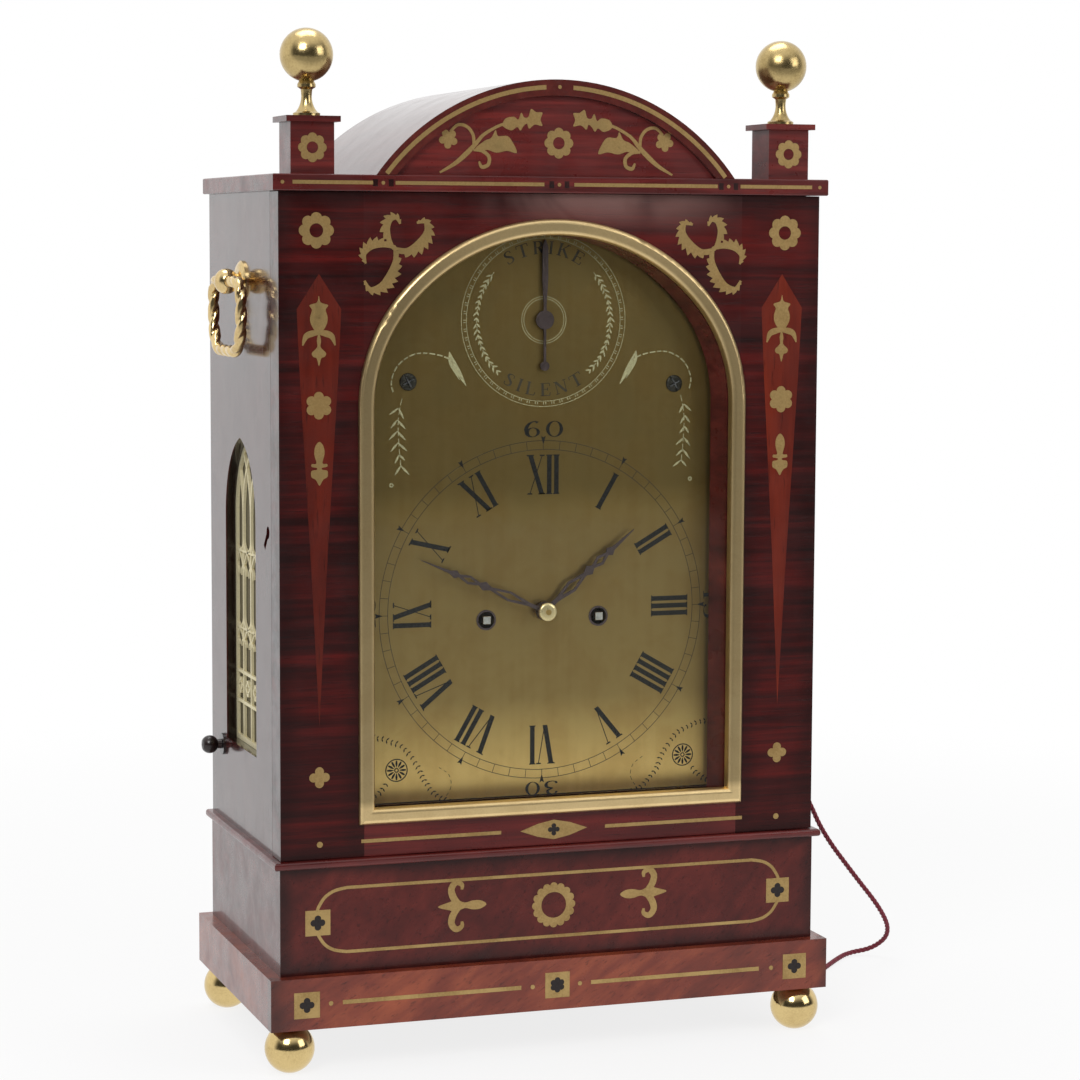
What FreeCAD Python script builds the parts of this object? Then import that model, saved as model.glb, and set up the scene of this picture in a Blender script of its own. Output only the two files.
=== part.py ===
"""Bracket clock with a pull repeat: brass inlaid mahogany case, arched brass dial, two fusee trains.

Millimetres. +Z is up, -Y is the dial side and +X is the right hand side seen from the front.
The origin lies on the table, under the middle of the plinth.
"""
import FreeCAD
import Part
import Sketcher
import math
import os
import re
from types import SimpleNamespace
from FreeCAD import Placement, Rotation, Vector

# Driving dimensions in millimetres, unless the name says degrees, teeth or count.
SIZES = {
    # case
    "body_width": 300,
    "body_depth": 155.6,
    "body_height": 346,
    "wall": 12,
    "foot_height": 25,
    "foot_radius": 13.2,
    "foot_sink": 0.3,
    "plinth_height": 27.3,
    "plinth_overhang": 7.2,
    "plinth_back_overhang": 5.6,
    "plinth_wall": 20,
    "bottom_board_thickness": 10,
    "base_height": 56.7,
    "base_overhang": 0.5,
    "moulding_height": 4,
    "moulding_overhang": 4.1,
    "moulding_round": 1.5,
    "cornice_height": 8.6,
    "cornice_overhang": 3.6,
    "cornice_round": 0.8,
    # barrel roof and pediment
    "roof_radius": 122.7,
    "roof_rise": 50.2,
    "roof_shell_wall": 8.4,
    "tympanum_recess": 3,
    "tympanum_thickness": 8,
    # pedestals and finials
    "pedestal_width": 23,
    "pedestal_height": 26.4,
    "pedestal_inset": 0.5,
    "finial_spread": 131.8,
    "cap_width": 28.5,
    "cap_height": 3,
    "finial_ball_radius": 13.7,
    "finial_neck_radius": 2.8,
    "finial_foot_radius": 7,
    "finial_spool_height": 19,
    # front door
    "door_gap": 0.3,
    "door_thickness": 17,
    "rail_height": 17,
    "aperture_half": 108,
    "jamb_height": 217.8,
    "arch_side_radius": 89.3,
    "arch_top_radius": 113.9,
    "bezel_width": 8.5,
    "bezel_depth": 6,
    "bezel_projection": 3,
    "bezel_round": 2.6,
    "glass_thickness": 2,
    "glass_lip": 3,
    "trim_gap": 0.1,
    # back door
    "back_door_thickness": 15,
    "back_stile_width": 34,
    # hinges
    "knuckle_radius": 2.2,
    "knuckle_offset": 2.6,
    "pin_radius": 1.1,
    "leaf_thickness": 1.2,
    "leaf_width": 12,
    "knuckle_length": 12,
    "hinge_inset": 45,
    # lock
    "lock_height": 166,
    "lock_depth": 24,
    "lock_tall": 30,
    "lock_thickness": 8,
    "bolt_width": 4,
    "bolt_tall": 10,
    "bolt_length": 20,
    "bolt_throw": 5,
    "keyhole_radius": 3.2,
    "keyhole_slot_half": 1.9,
    "keyhole_reach": 11.5,
    "keyhole_lean_degrees": 42,
    "keyhole_rise": 3.5,
    "keyhole_inset": 7,
    # back latch
    "latch_width": 9,
    "latch_length": 30,
    "latch_thickness": 2.2,
    # side frets
    "fret_before_middle": 0.65,
    "fret_half": 34.25,
    "fret_sill": 46.5,
    "fret_jamb": 125,
    "fret_arch_rise": 43.5,
    "fret_sink": 5.5,
    "fret_thickness": 1.6,
    "fret_rim": 3,
    "fret_bar": 1.8,
    "transom_low": 22,
    "transom_high": 38.5,
    "silk_thickness": 0.5,
    # handles
    "handle_drop": 36.8,
    "handle_half": 31.7,
    "handle_bar_radius": 3.2,
    "handle_top": 299,
    "handle_before_middle": 8.3,
    "handle_standoff": 8.4,
    "handle_top_corner": 9,
    "handle_bottom_corner": 17,
    "boss_radius": 6.8,
    "boss_flange_radius": 11,
    # pull repeat
    "pull_behind_middle": 40.7,
    "pull_height": 42,
    "bush_radius": 6,
    "bush_flange": 1.5,
    "knob_radius": 5,
    "knob_length": 11,
    "knob_stem_radius": 2,
    "knob_stem_length": 32,
    "cord_radius": 1.5,
    # dial and mask
    "dial_set_back": 20,
    "dial_thickness": 2,
    "dial_overlap": 1.5,
    "mask_thickness": 8,
    "mask_set_back": 17.4,
    "dial_centre_height": 124,
    "strike_dial_rise": 155.4,
    "winding_spread": 31.8,
    "winding_drop": 4.2,
    "winding_hole_radius": 4.6,
    "dial_foot_radius": 3,
    # movement plates
    "front_plate_set_back": 36,
    "plate_thickness": 2.5,
    "plate_gap": 55,
    "plate_half": 72,
    "plate_height": 172,
    "pillar_radius": 4,
    "pillar_inset": 9,
    "seat_board_thickness": 12,
    "seat_board_drop": 33,
    "seat_board_depth": 72,
    # running fits
    "running_gap": 0.05,
    "end_shake": 0.3,
    "arbor_radius": 1.5,
    "pivot_radius": 1,
    "fine_arbor_radius": 1,
    "fine_pivot_radius": 0.7,
    "winding_arbor_radius": 3,
    "winding_square": 4.2,
    # going train
    "great_teeth": 72,
    "centre_pinion_leaves": 6,
    "centre_teeth": 72,
    "third_pinion_leaves": 6,
    "third_teeth": 66,
    "escape_pinion_leaves": 6,
    "escape_teeth": 30,
    "escape_radius": 15,
    "centre_third_distance": 26,
    "third_escape_distance": 22,
    "third_offset": 10,
    "wheel_thickness": 1.6,
    "great_thickness": 2.5,
    "pallet_distance": 21.8,
    # motion work
    "motion_teeth": 24,
    "hour_teeth": 72,
    "minute_pinion_leaves": 6,
    "motion_distance": 22,
    # barrels and fusees
    "barrel_radius": 22,
    "barrel_length": 33,
    "barrel_spread": 42,
    "barrel_drop": 59,
    "fusee_large_radius": 20,
    "fusee_small_radius": 9,
    "fusee_length": 28,
    # strike
    "strike_great_teeth": 78,
    "pin_pinion_leaves": 8,
    "strike_distance": 31,
    "pin_wheel_radius": 18,
    "pin_wheel_teeth": 48,
    "pin_count": 8,
    "pin_circle": 13,
    "bell_radius": 34,
    "bell_height": 26,
    "bell_wall": 2,
    "bell_gap": 8,
    "hammer_spread": 58,
    "hammer_drop": 26,
    "hammer_tail": 21,
    "hammer_head_length": 9,
    "bell_arm_spread": 30,
    "bell_arm_foot": 34,
    "bell_arm_rise": 9,
    # pendulum
    "pendulum_length": 205,
    "bob_radius": 27,
    "bob_thickness": 12,
    "rod_radius": 1.2,
    "crutch_length": 44,
    # hands
    "hand_thickness": 1.1,
    "minute_hand_length": 76,
    "hour_hand_length": 66,
    "strike_hand_length": 42.5,
    "strike_hand_tail": 27,
    "collet_radius": 5,
    "minute_hand_degrees": 293,
    "hour_hand_degrees": 50,
}

# Levels and planes that several pieces share, each a formula over the sizes.
PLACES = {
    "front": "(plinth_overhang - plinth_back_overhang - body_depth) / 2",
    "back": "front + body_depth",
    "half": "body_width / 2",
    "inner": "half - wall",
    "plinth_bottom": "foot_height",
    "base_bottom": "plinth_bottom + plinth_height",
    "moulding_bottom": "base_bottom + base_height",
    "body_bottom": "moulding_bottom + moulding_height",
    "body_top": "body_bottom + body_height",
    "roof_bottom": "body_top + cornice_height",
    "cap_bottom": "roof_bottom + pedestal_height",
    "finial_bottom": "cap_bottom + cap_height",
    "door_back": "front + door_thickness",
    "aperture_bottom": "body_bottom + rail_height",
    "spring": "aperture_bottom + jamb_height",
    "back_door_front": "back - back_door_thickness",
    "dial_front": "front + dial_set_back",
    "dial_back": "dial_front + dial_thickness",
    "plate_front": "front + front_plate_set_back",
    "plate_inside": "plate_front + plate_thickness",
    "plate_far": "plate_inside + plate_gap",
    "plate_back": "plate_far + plate_thickness",
    "centre": "body_bottom + dial_centre_height",
    "seat_top": "body_bottom + seat_board_drop",
    "plate_top": "seat_top + plate_height",
    "winding": "centre - winding_drop",
    "barrels": "centre - barrel_drop",
    "side_middle": "(door_back + back) / 2",
    "pull_y": "side_middle + pull_behind_middle",
    "pull_z": "body_bottom + pull_height",
    "fret_y": "side_middle - fret_before_middle",
    "fret_bottom": "body_bottom + fret_sill",
    "handle_y": "side_middle - handle_before_middle",
    "handle_z": "body_bottom + handle_top",
    "handle_x": "half + handle_standoff",
    "lock_z": "body_bottom + lock_height",
    "finial_y": "front + pedestal_inset + pedestal_width / 2",
    "hinge_x": "half + knuckle_offset",
    "back_hinge_y": "back + knuckle_offset",
}

# The cord's route from the bush on the right hand side to the table beside the clock.
CORD_ROUTE = [
    (151.5, 50, 155),
    (169, 50, 155),
    (187, 50.2, 137),
    (206, 50.6, 103),
    (216, 51, 82),
    (236, 50.4, 56),
    (254.5, 48.6, 33),
    (264.5, 57, 16),
    (259, 69, 4.5),
    (244, 73, 1.8),
    (230, 60, 1.7),
    (207, 34, 1.6),
    (190, 24, 1.7),
    (174, 34, 2.4),
    (172, 54, 4.5),
]

doc = FreeCAD.newDocument("bracket_clock")


def spreadsheet(name, cells):
    """A sheet with one aliased cell per entry."""
    sheet = doc.addObject("Spreadsheet::Sheet", name)
    for row, (alias, content) in enumerate(cells.items(), 1):
        sheet.set(f"A{row}", alias)
        sheet.set(f"B{row}", str(content))
        sheet.setAlias(f"B{row}", alias)
    return sheet


def linked(formula, own_sheet=""):
    """The formula with each size or place written as a reference to its sheet."""
    def reference(match):
        word = match.group(0)
        for sheet_name, cells in (("sizes", SIZES), ("places", PLACES)):
            if word in cells:
                return word if sheet_name == own_sheet else f"{sheet_name}.{word}"
        return word
    return re.sub(r"[a-z][a-z_]*", reference, formula)


sizes = spreadsheet("sizes", SIZES)
places = spreadsheet("places", {key: "=" + linked(text, "places") for key, text in PLACES.items()})
doc.recompute()
s = SimpleNamespace(
    **{alias: float(sizes.get(alias)) for alias in SIZES},
    **{alias: float(places.get(alias)) for alias in PLACES},
)
X, Y, Z = Vector(1, 0, 0), Vector(0, 1, 0), Vector(0, 0, 1)
UPRIGHT = Rotation()
ALONG_X = Rotation(Y, 90)
ALONG_Y = Rotation(X, -90)
NODES = []


def node(piece, label):
    """Marks an object as a finished sub-part and names its file."""
    piece.Label = label
    NODES.append(piece)
    return piece


def bind(piece, values):
    """Ties properties of a piece to formulas over the sheets."""
    for path, formula in values.items():
        piece.setExpression(path, linked(formula))
    return piece


def box(name, x, y, z):
    """A block from a (start, length) pair of formulas along each axis."""
    piece = doc.addObject("Part::Box", name)
    return bind(piece, {
        "Placement.Base.x": x[0], "Length": x[1],
        "Placement.Base.y": y[0], "Width": y[1],
        "Placement.Base.z": z[0], "Height": z[1],
    })


def rod(name, start, radius, length, turn=UPRIGHT):
    """A cylinder from three formulas for its start, along the turned Z axis."""
    piece = doc.addObject("Part::Cylinder", name)
    piece.Placement = Placement(Vector(), turn)
    return bind(piece, {
        "Placement.Base.x": start[0], "Placement.Base.y": start[1], "Placement.Base.z": start[2],
        "Radius": radius, "Height": length,
    })


def fused(name, pieces):
    piece = doc.addObject("Part::MultiFuse", name)
    piece.Shapes = pieces
    return piece


def cut(name, base, tools):
    """The base with one or more tools taken away."""
    piece = doc.addObject("Part::Cut", name)
    piece.Base = base
    piece.Tool = tools[0] if len(tools) == 1 else fused(name + "_tools", tools)
    return piece


def group(name, pieces):
    """Equal pieces that share one node, each still a solid of its own."""
    piece = doc.addObject("Part::Compound", name)
    piece.Links = pieces
    return piece


def shaped(name, shape, place=None):
    """A free form made from its profile."""
    piece = doc.addObject("Part::Feature", name)
    piece.Shape = shape
    if place is not None:
        piece.Placement = place
    return piece


def joined(shapes):
    """One shape from overlapping or touching ones."""
    return shapes[0].multiFuse(shapes[1:]).removeSplitter()


def loop(points):
    """A closed straight-edged face."""
    return Part.Face(Part.makePolygon(points + points[:1]))


def slab(corner, far):
    """A block between two corners."""
    low = Vector(*[min(a, b) for a, b in zip(corner, far)])
    high = Vector(*[max(a, b) for a, b in zip(corner, far)])
    return Part.makeBox(high.x - low.x, high.y - low.y, high.z - low.z, low)


def disc(x, z, radius, y, thickness, bore=0):
    """A round plate across Y, from y backwards, with an optional bore."""
    plate = Part.makeCylinder(radius, thickness, Vector(x, y, z), Y)
    return plate.cut(Part.makeCylinder(bore, thickness, Vector(x, y, z), Y)) if bore else plate


def turned(segments, base, axis):
    """A turned piece: the outline is (radius, height) points, three for an arc and one for a line."""
    def point(radius, height):
        return Vector(radius, 0, height)
    here = point(*segments[0][0])
    edges = []
    for segment in segments[1:]:
        ends = [point(*pair) for pair in segment]
        curve = Part.Arc(here, *ends) if len(ends) == 2 else Part.LineSegment(here, ends[0])
        edges.append(curve.toShape())
        here = ends[-1]
    profile = Part.Face(Part.Wire(edges))
    solid = profile.revolve(Vector(), Z, 360)
    solid.Placement = Placement(base, Rotation(Z, axis))
    return solid


def origin_plane(body, role):
    return next(feature for feature in body.Origin.OriginFeatures if feature.Role == role)


def rectangle(body, name, role, low, high):
    """A sketch of a rectangle between two corners, each a pair of formulas."""
    sketch = body.newObject("Sketcher::SketchObject", name)
    sketch.AttachmentSupport = (origin_plane(body, role), [""])
    sketch.MapMode = "FlatFace"
    corners = [Vector(-9, -9, 0), Vector(9, -9, 0), Vector(9, 9, 0), Vector(-9, 9, 0)]
    for index in range(4):
        sketch.addGeometry(Part.LineSegment(corners[index], corners[(index + 1) % 4]))
    for index in range(4):
        sketch.addConstraint(Sketcher.Constraint("Coincident", index, 2, (index + 1) % 4, 1))
        side = "Vertical" if index % 2 else "Horizontal"
        sketch.addConstraint(Sketcher.Constraint(side, index))
    for kind, line, start, formula, label in (
        ("DistanceX", 0, -9, low[0], "left"), ("DistanceY", 0, -9, low[1], "low"),
        ("DistanceX", 2, 9, high[0], "right"), ("DistanceY", 2, 9, high[1], "high"),
    ):
        number = sketch.addConstraint(Sketcher.Constraint(kind, -1, 1, line, 1, start))
        sketch.renameConstraint(number, label)
        sketch.setExpression("Constraints." + label, linked(formula))
    return sketch


def circles(body, name, role, rounds):
    """A sketch of circles, each a formula pair for its middle and one for its radius."""
    sketch = body.newObject("Sketcher::SketchObject", name)
    sketch.AttachmentSupport = (origin_plane(body, role), [""])
    sketch.MapMode = "FlatFace"
    for index, (across, up, radius) in enumerate(rounds):
        middle = Vector(10 * index + 1, 1, 0)
        sketch.addGeometry(Part.Circle(middle, Z, 1))
        for kind, start, formula, label in (
            ("DistanceX", middle.x, across, "across"), ("DistanceY", middle.y, up, "up"),
        ):
            constraint = Sketcher.Constraint(kind, -1, 1, index, 3, start)
            number = sketch.addConstraint(constraint)
            sketch.renameConstraint(number, f"{label}_{index}")
            sketch.setExpression(f"Constraints.{label}_{index}", linked(formula))
        number = sketch.addConstraint(Sketcher.Constraint("Radius", index, 1))
        sketch.renameConstraint(number, f"radius_{index}")
        sketch.setExpression(f"Constraints.radius_{index}", linked(radius))
    return sketch


def padded(body, sketch, length):
    pad = body.newObject("PartDesign::Pad", sketch.Name + "_pad")
    pad.Profile = sketch
    return bind(pad, {"Length": length})


def pocketed(body, sketch, length):
    """Cuts to both sides of the sketch, so that its direction can't miss the solid."""
    pocket = body.newObject("PartDesign::Pocket", sketch.Name + "_pocket")
    pocket.Profile = sketch
    pocket.Midplane = True
    return bind(pocket, {"Length": length})


def rounded(body, base, radius, wanted):
    """Rounds the edges of the base whose middle the test picks."""
    doc.recompute()
    names = [
        f"Edge{index}" for index, edge in enumerate(base.Shape.Edges, 1)
        if wanted(edge.BoundBox.Center)
    ]
    fillet = body.newObject("PartDesign::Fillet", base.Name + "_round")
    fillet.Base = (base, names)
    return bind(fillet, {"Radius": radius})


# ---------------------------------------------------------------- case


def frame_body(label, overhang, back_overhang, wall, bottom, height, round_radius=None):
    """Four mitred walls round the case, as one hollow rectangle."""
    body = doc.addObject("PartDesign::Body", label)
    outer_low = (f"-half - {overhang}", f"front - {overhang}")
    outer_high = (f"half + {overhang}", f"back + {back_overhang}")
    outer = padded(body, rectangle(body, label + "_outer", "XY_Plane", outer_low, outer_high), height)
    inner_low = (f"{outer_low[0]} + {wall}", f"{outer_low[1]} + {wall}")
    inner_high = (f"{outer_high[0]} - {wall}", f"{outer_high[1]} - {wall}")
    inner = rectangle(body, label + "_inner", "XY_Plane", inner_low, inner_high)
    if round_radius:
        half_depth = s.body_depth / 2
        middle = (s.front + s.back) / 2
        outer = rounded(
            body, outer, round_radius,
            lambda c: abs(c.z - s.moulding_height / 2) > 1 and (
                abs(c.x) > s.half or c.y < middle - half_depth),
        )
    pocketed(body, inner, f"2 * {height} + 1")
    bind(body, {"Placement.Base.z": bottom})
    return node(body, label)


def make_base():
    frame_body("plinth_frame", "plinth_overhang", "plinth_back_overhang", "plinth_wall",
               "plinth_bottom", "plinth_height")
    frame_body("base_frame", "base_overhang", "0", "wall", "base_bottom", "base_height")
    frame_body("base_moulding", "moulding_overhang", "0", "(wall + moulding_overhang)",
               "moulding_bottom", "moulding_height", "moulding_round")
    inset = "(plinth_overhang - plinth_wall)"
    board = box(
        "bottom_board",
        (f"-half - {inset}", f"body_width + 2 * ({inset})"),
        (f"front - {inset}", f"body_depth + {inset} + plinth_back_overhang - plinth_wall"),
        ("base_bottom - bottom_board_thickness", "bottom_board_thickness"),
    )
    node(board, "bottom_board")
    feet = []
    for index, (side, end) in enumerate(((-1, -1), (1, -1), (-1, 1), (1, 1))):
        ball = doc.addObject("Part::Sphere", f"ball_{index}")
        edge = "front - plinth_overhang" if end < 0 else "back + plinth_back_overhang"
        bind(ball, {
            "Radius": "foot_radius",
            "Placement.Base.x": f"{side} * (half + plinth_overhang - foot_radius)",
            "Placement.Base.y": f"{edge} - {end} * foot_radius",
            "Placement.Base.z": "foot_radius - foot_sink",
        })
        space = box(f"foot_space_{index}", ("-body_width", "2 * body_width"),
                    ("-body_width", "2 * body_width"), ("0", "foot_height"))
        foot = doc.addObject("Part::Common", f"foot_{index}")
        foot.Base = ball
        foot.Tool = space
        feet.append(foot)
    node(group("ball_feet", feet), "ball_feet")


def lancet(inset, x, thickness):
    """The pointed side opening as a prism across X, drawn in by the inset all round."""
    half = s.fret_half - inset
    rise = s.fret_arch_rise - inset
    radius = (rise ** 2 + half ** 2) / (2 * half)
    low = s.fret_bottom + inset
    spring = s.fret_bottom + s.fret_jamb
    tip = Vector(x, s.fret_y, spring + rise)
    lean = math.atan2(rise, radius - half) / 2

    def shoulder(side):
        swing = Vector(0, -side * (radius - half) + side * radius * math.cos(lean),
                       radius * math.sin(lean))
        return Vector(x, s.fret_y, spring) + swing
    corners = [
        Vector(x, s.fret_y + side * half, height)
        for side, height in ((-1, low), (1, low), (1, spring), (-1, spring))
    ]
    edges = [
        Part.LineSegment(corners[0], corners[1]).toShape(),
        Part.LineSegment(corners[1], corners[2]).toShape(),
        Part.Arc(corners[2], shoulder(1), tip).toShape(),
        Part.Arc(tip, shoulder(-1), corners[3]).toShape(),
        Part.LineSegment(corners[3], corners[0]).toShape(),
    ]
    return Part.Face(Part.Wire(edges)).extrude(Vector(thickness, 0, 0))


def keyhole(x, length):
    """A round with a slot below it that leans to the rear, across X."""
    middle = Vector(x, s.door_back + s.keyhole_inset, s.lock_z + s.keyhole_rise)
    head = Part.makeCylinder(s.keyhole_radius, length, middle, X)
    half = s.keyhole_slot_half
    slot = slab((x, middle.y - half, middle.z - s.keyhole_reach), (x + length, middle.y + half, middle.z))
    slot.rotate(middle, X, s.keyhole_lean_degrees)
    return joined([head, slot])


def make_sides():
    """Side panels with their lancet openings, the pull-repeat hole and, on the left, the keyhole."""
    for side, label in ((-1, "side_panel_left"), (1, "side_panel_right")):
        start = "-half" if side < 0 else "inner"
        depth = ("door_back + door_gap", "back - door_back - door_gap")
        panel = box(label + "_board", (start, "wall"), depth,
                    ("body_bottom", "body_height"))
        opening = shaped(label + "_opening", lancet(0, min(side * s.half, side * s.inner) - 1, s.wall + 2))
        pull = rod(label + "_pull_hole", (f"{start} - 1", "pull_y", "pull_z"),
                   "bush_radius * 0.6 + running_gap", "wall + 2", ALONG_X)
        tools = [opening, pull]
        if side < 0:
            tools.append(shaped("keyhole_cut", keyhole(-s.half - 1, s.wall + 2)))
        if side > 0:
            tools += [
                box(f"leaf_seat_{index}", ("half - leaf_width", "leaf_width + 1"),
                    ("door_back", "door_gap + leaf_thickness"), hinge_span(index))
                for index in range(2)
            ]
        node(cut(label + "_cut", panel, tools), label)


def make_frets():
    """Openwork lancet windows: rim, mullions, transoms and interlaced arches, with silk behind."""
    spring = s.fret_bottom + s.fret_jamb
    radius = (s.fret_arch_rise ** 2 + s.fret_half ** 2) / (2 * s.fret_half)
    bar = s.fret_bar / 2
    reach = s.fret_half * 3
    frets = []
    silks = []
    for side in (-1, 1):
        face = s.half - s.fret_sink
        x = -face if side < 0 else face - s.fret_thickness
        whole = lancet(s.trim_gap, x, s.fret_thickness)
        rim = whole.cut(lancet(s.fret_rim, x - 1, s.fret_thickness + 2))
        bars = []
        for step in (-1, 0, 1):
            mullion_y = s.fret_y + step * s.fret_half / 2
            foot = (x, mullion_y - bar, s.fret_bottom)
            bars.append(slab(foot, (x + s.fret_thickness, mullion_y + bar, spring)))
            for lean in (-1, 1):
                middle = Vector(x, mullion_y + lean * radius, spring)
                ring = Part.makeCylinder(radius + bar, s.fret_thickness, middle, X)
                ring = ring.cut(Part.makeCylinder(radius - bar, s.fret_thickness, middle, X))
                corner = (x + s.fret_thickness, mullion_y + lean * reach, spring + reach)
                near = slab((x, mullion_y - lean, spring), corner)
                bars.append(ring.common(near))
        for height in (s.transom_low, s.transom_high):
            low = (x, s.fret_y - s.fret_half, s.fret_bottom + height - bar)
            high = (x + s.fret_thickness, s.fret_y + s.fret_half, s.fret_bottom + height + bar)
            bars.append(slab(low, high))
        tracery = [piece.common(whole) for piece in bars]
        frets.append(shaped(f"fret_{len(frets)}", joined([rim] + tracery)))
        behind = x - s.silk_thickness if side > 0 else x + s.fret_thickness
        silks.append(shaped(f"silk_{len(silks)}", lancet(s.trim_gap, behind, s.silk_thickness)))
    node(group("frets", frets), "side_frets")
    node(group("silks", silks), "fret_silks")


def roof_segment(radius, y, depth):
    """A segment of the barrel roof: an arc over a flat foot, run along Y."""
    middle = s.roof_bottom + s.roof_rise - s.roof_radius
    half = math.sqrt(radius ** 2 - (s.roof_bottom - middle) ** 2)
    left = Vector(-half, y, s.roof_bottom)
    right = Vector(half, y, s.roof_bottom)
    crown = Part.Arc(right, Vector(0, y, middle + radius), left).toShape()
    foot = Part.LineSegment(left, right).toShape()
    return Part.Face(Part.Wire([foot, crown])).extrude(Vector(0, depth, 0))


def make_top():
    """Cornice board, barrel roof, the two tympana and the pedestals with their finials."""
    cornice = doc.addObject("PartDesign::Body", "cornice")
    low = ("-half - cornice_overhang", "front - cornice_overhang")
    high = ("half + cornice_overhang", "back")
    board = padded(cornice, rectangle(cornice, "cornice_outline", "XY_Plane", low, high), "cornice_height")
    rounded(cornice, board, "cornice_round",
            lambda c: abs(c.z - s.cornice_height / 2) > 1 and (abs(c.x) > s.half or c.y < s.front))
    node(bind(cornice, {"Placement.Base.z": "body_top"}), "cornice")

    start = s.front - s.cornice_overhang
    length = s.back - start
    inner = s.roof_radius - s.roof_shell_wall
    shell = roof_segment(s.roof_radius, start, length).cut(roof_segment(inner, start - 1, length + 2))
    node(shaped("roof", shell), "roof_shell")
    panel = inner - s.trim_gap
    faces = {"front_gable": start + s.tympanum_recess, "back_gable": s.back - s.tympanum_thickness}
    gables = [shaped(label, roof_segment(panel, y, s.tympanum_thickness)) for label, y in faces.items()]
    node(group("gables", gables), "tympana")

    pedestals = []
    caps = []
    finials = []
    for side in (-1, 1):
        middle = f"{side} * finial_spread"
        pedestals.append(box(
            f"pedestal_{len(pedestals)}",
            (f"{middle} - pedestal_width / 2", "pedestal_width"),
            ("finial_y - pedestal_width / 2", "pedestal_width"),
            ("roof_bottom", "pedestal_height"),
        ))
        caps.append(box(f"cap_{len(caps)}", (f"{middle} - cap_width / 2", "cap_width"),
                        ("finial_y - cap_width / 2", "cap_width"), ("cap_bottom", "cap_height")))
        finials.append(shaped(f"finial_{len(finials)}", finial(side * s.finial_spread)))
    node(group("pedestals", pedestals + caps), "finial_pedestals")
    node(group("balls", finials), "finials")


def finial(x):
    """A ball on a waisted spool, turned in one piece."""
    neck = s.finial_neck_radius
    foot = s.finial_foot_radius
    spool = s.finial_spool_height
    ball = s.finial_ball_radius
    seat = spool - 1
    middle = seat + math.sqrt(ball ** 2 - (neck + 1) ** 2)
    outline = [
        [(0, 0)],
        [(foot, 0)],
        [(foot, 1.6)],
        [(foot * 0.78, 2.4)],
        [(neck + 0.6, spool * 0.32), (neck, spool * 0.62)],
        [(neck + 0.2, spool * 0.72)],
        [(neck + 1.9, spool * 0.78)],
        [(neck + 1.9, spool * 0.86)],
        [(neck + 1, seat)],
        [(ball, middle), (0, middle + ball)],
        [(0, 0)],
    ]
    return turned(outline, Vector(x, s.finial_y, s.finial_bottom), Z)


# ---------------------------------------------------------------- doors


def arch_prism(inset, y, depth):
    """The door's three-centred arched opening as a prism along Y, drawn in by the inset."""
    half = s.aperture_half - inset
    side = s.arch_side_radius - inset
    top = s.arch_top_radius - inset
    across = s.aperture_half - s.arch_side_radius
    drop = math.sqrt((s.arch_top_radius - s.arch_side_radius) ** 2 - across ** 2)
    turn = math.atan2(drop, across)
    low = s.aperture_bottom + inset

    def on_side(sign, angle):
        return Vector(sign * (across + side * math.cos(angle)), y, s.spring + side * math.sin(angle))
    crown = Vector(0, y, s.spring - drop + top)
    edges = [
        Part.LineSegment(Vector(-half, y, low), Vector(half, y, low)).toShape(),
        Part.LineSegment(Vector(half, y, low), on_side(1, 0)).toShape(),
        Part.Arc(on_side(1, 0), on_side(1, turn / 2), on_side(1, turn)).toShape(),
        Part.Arc(on_side(1, turn), crown, on_side(-1, turn)).toShape(),
        Part.Arc(on_side(-1, turn), on_side(-1, turn / 2), on_side(-1, 0)).toShape(),
        Part.LineSegment(on_side(-1, 0), Vector(-half, y, low)).toShape(),
    ]
    return Part.Face(Part.Wire(edges)).extrude(Vector(0, depth, 0))


def hinge_span(index):
    """Start and length of a hinge's leaves up the door."""
    length = "3 * knuckle_length"
    start = "body_bottom + hinge_inset" if index == 0 else f"body_top - hinge_inset - {length}"
    return (start, length)


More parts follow.
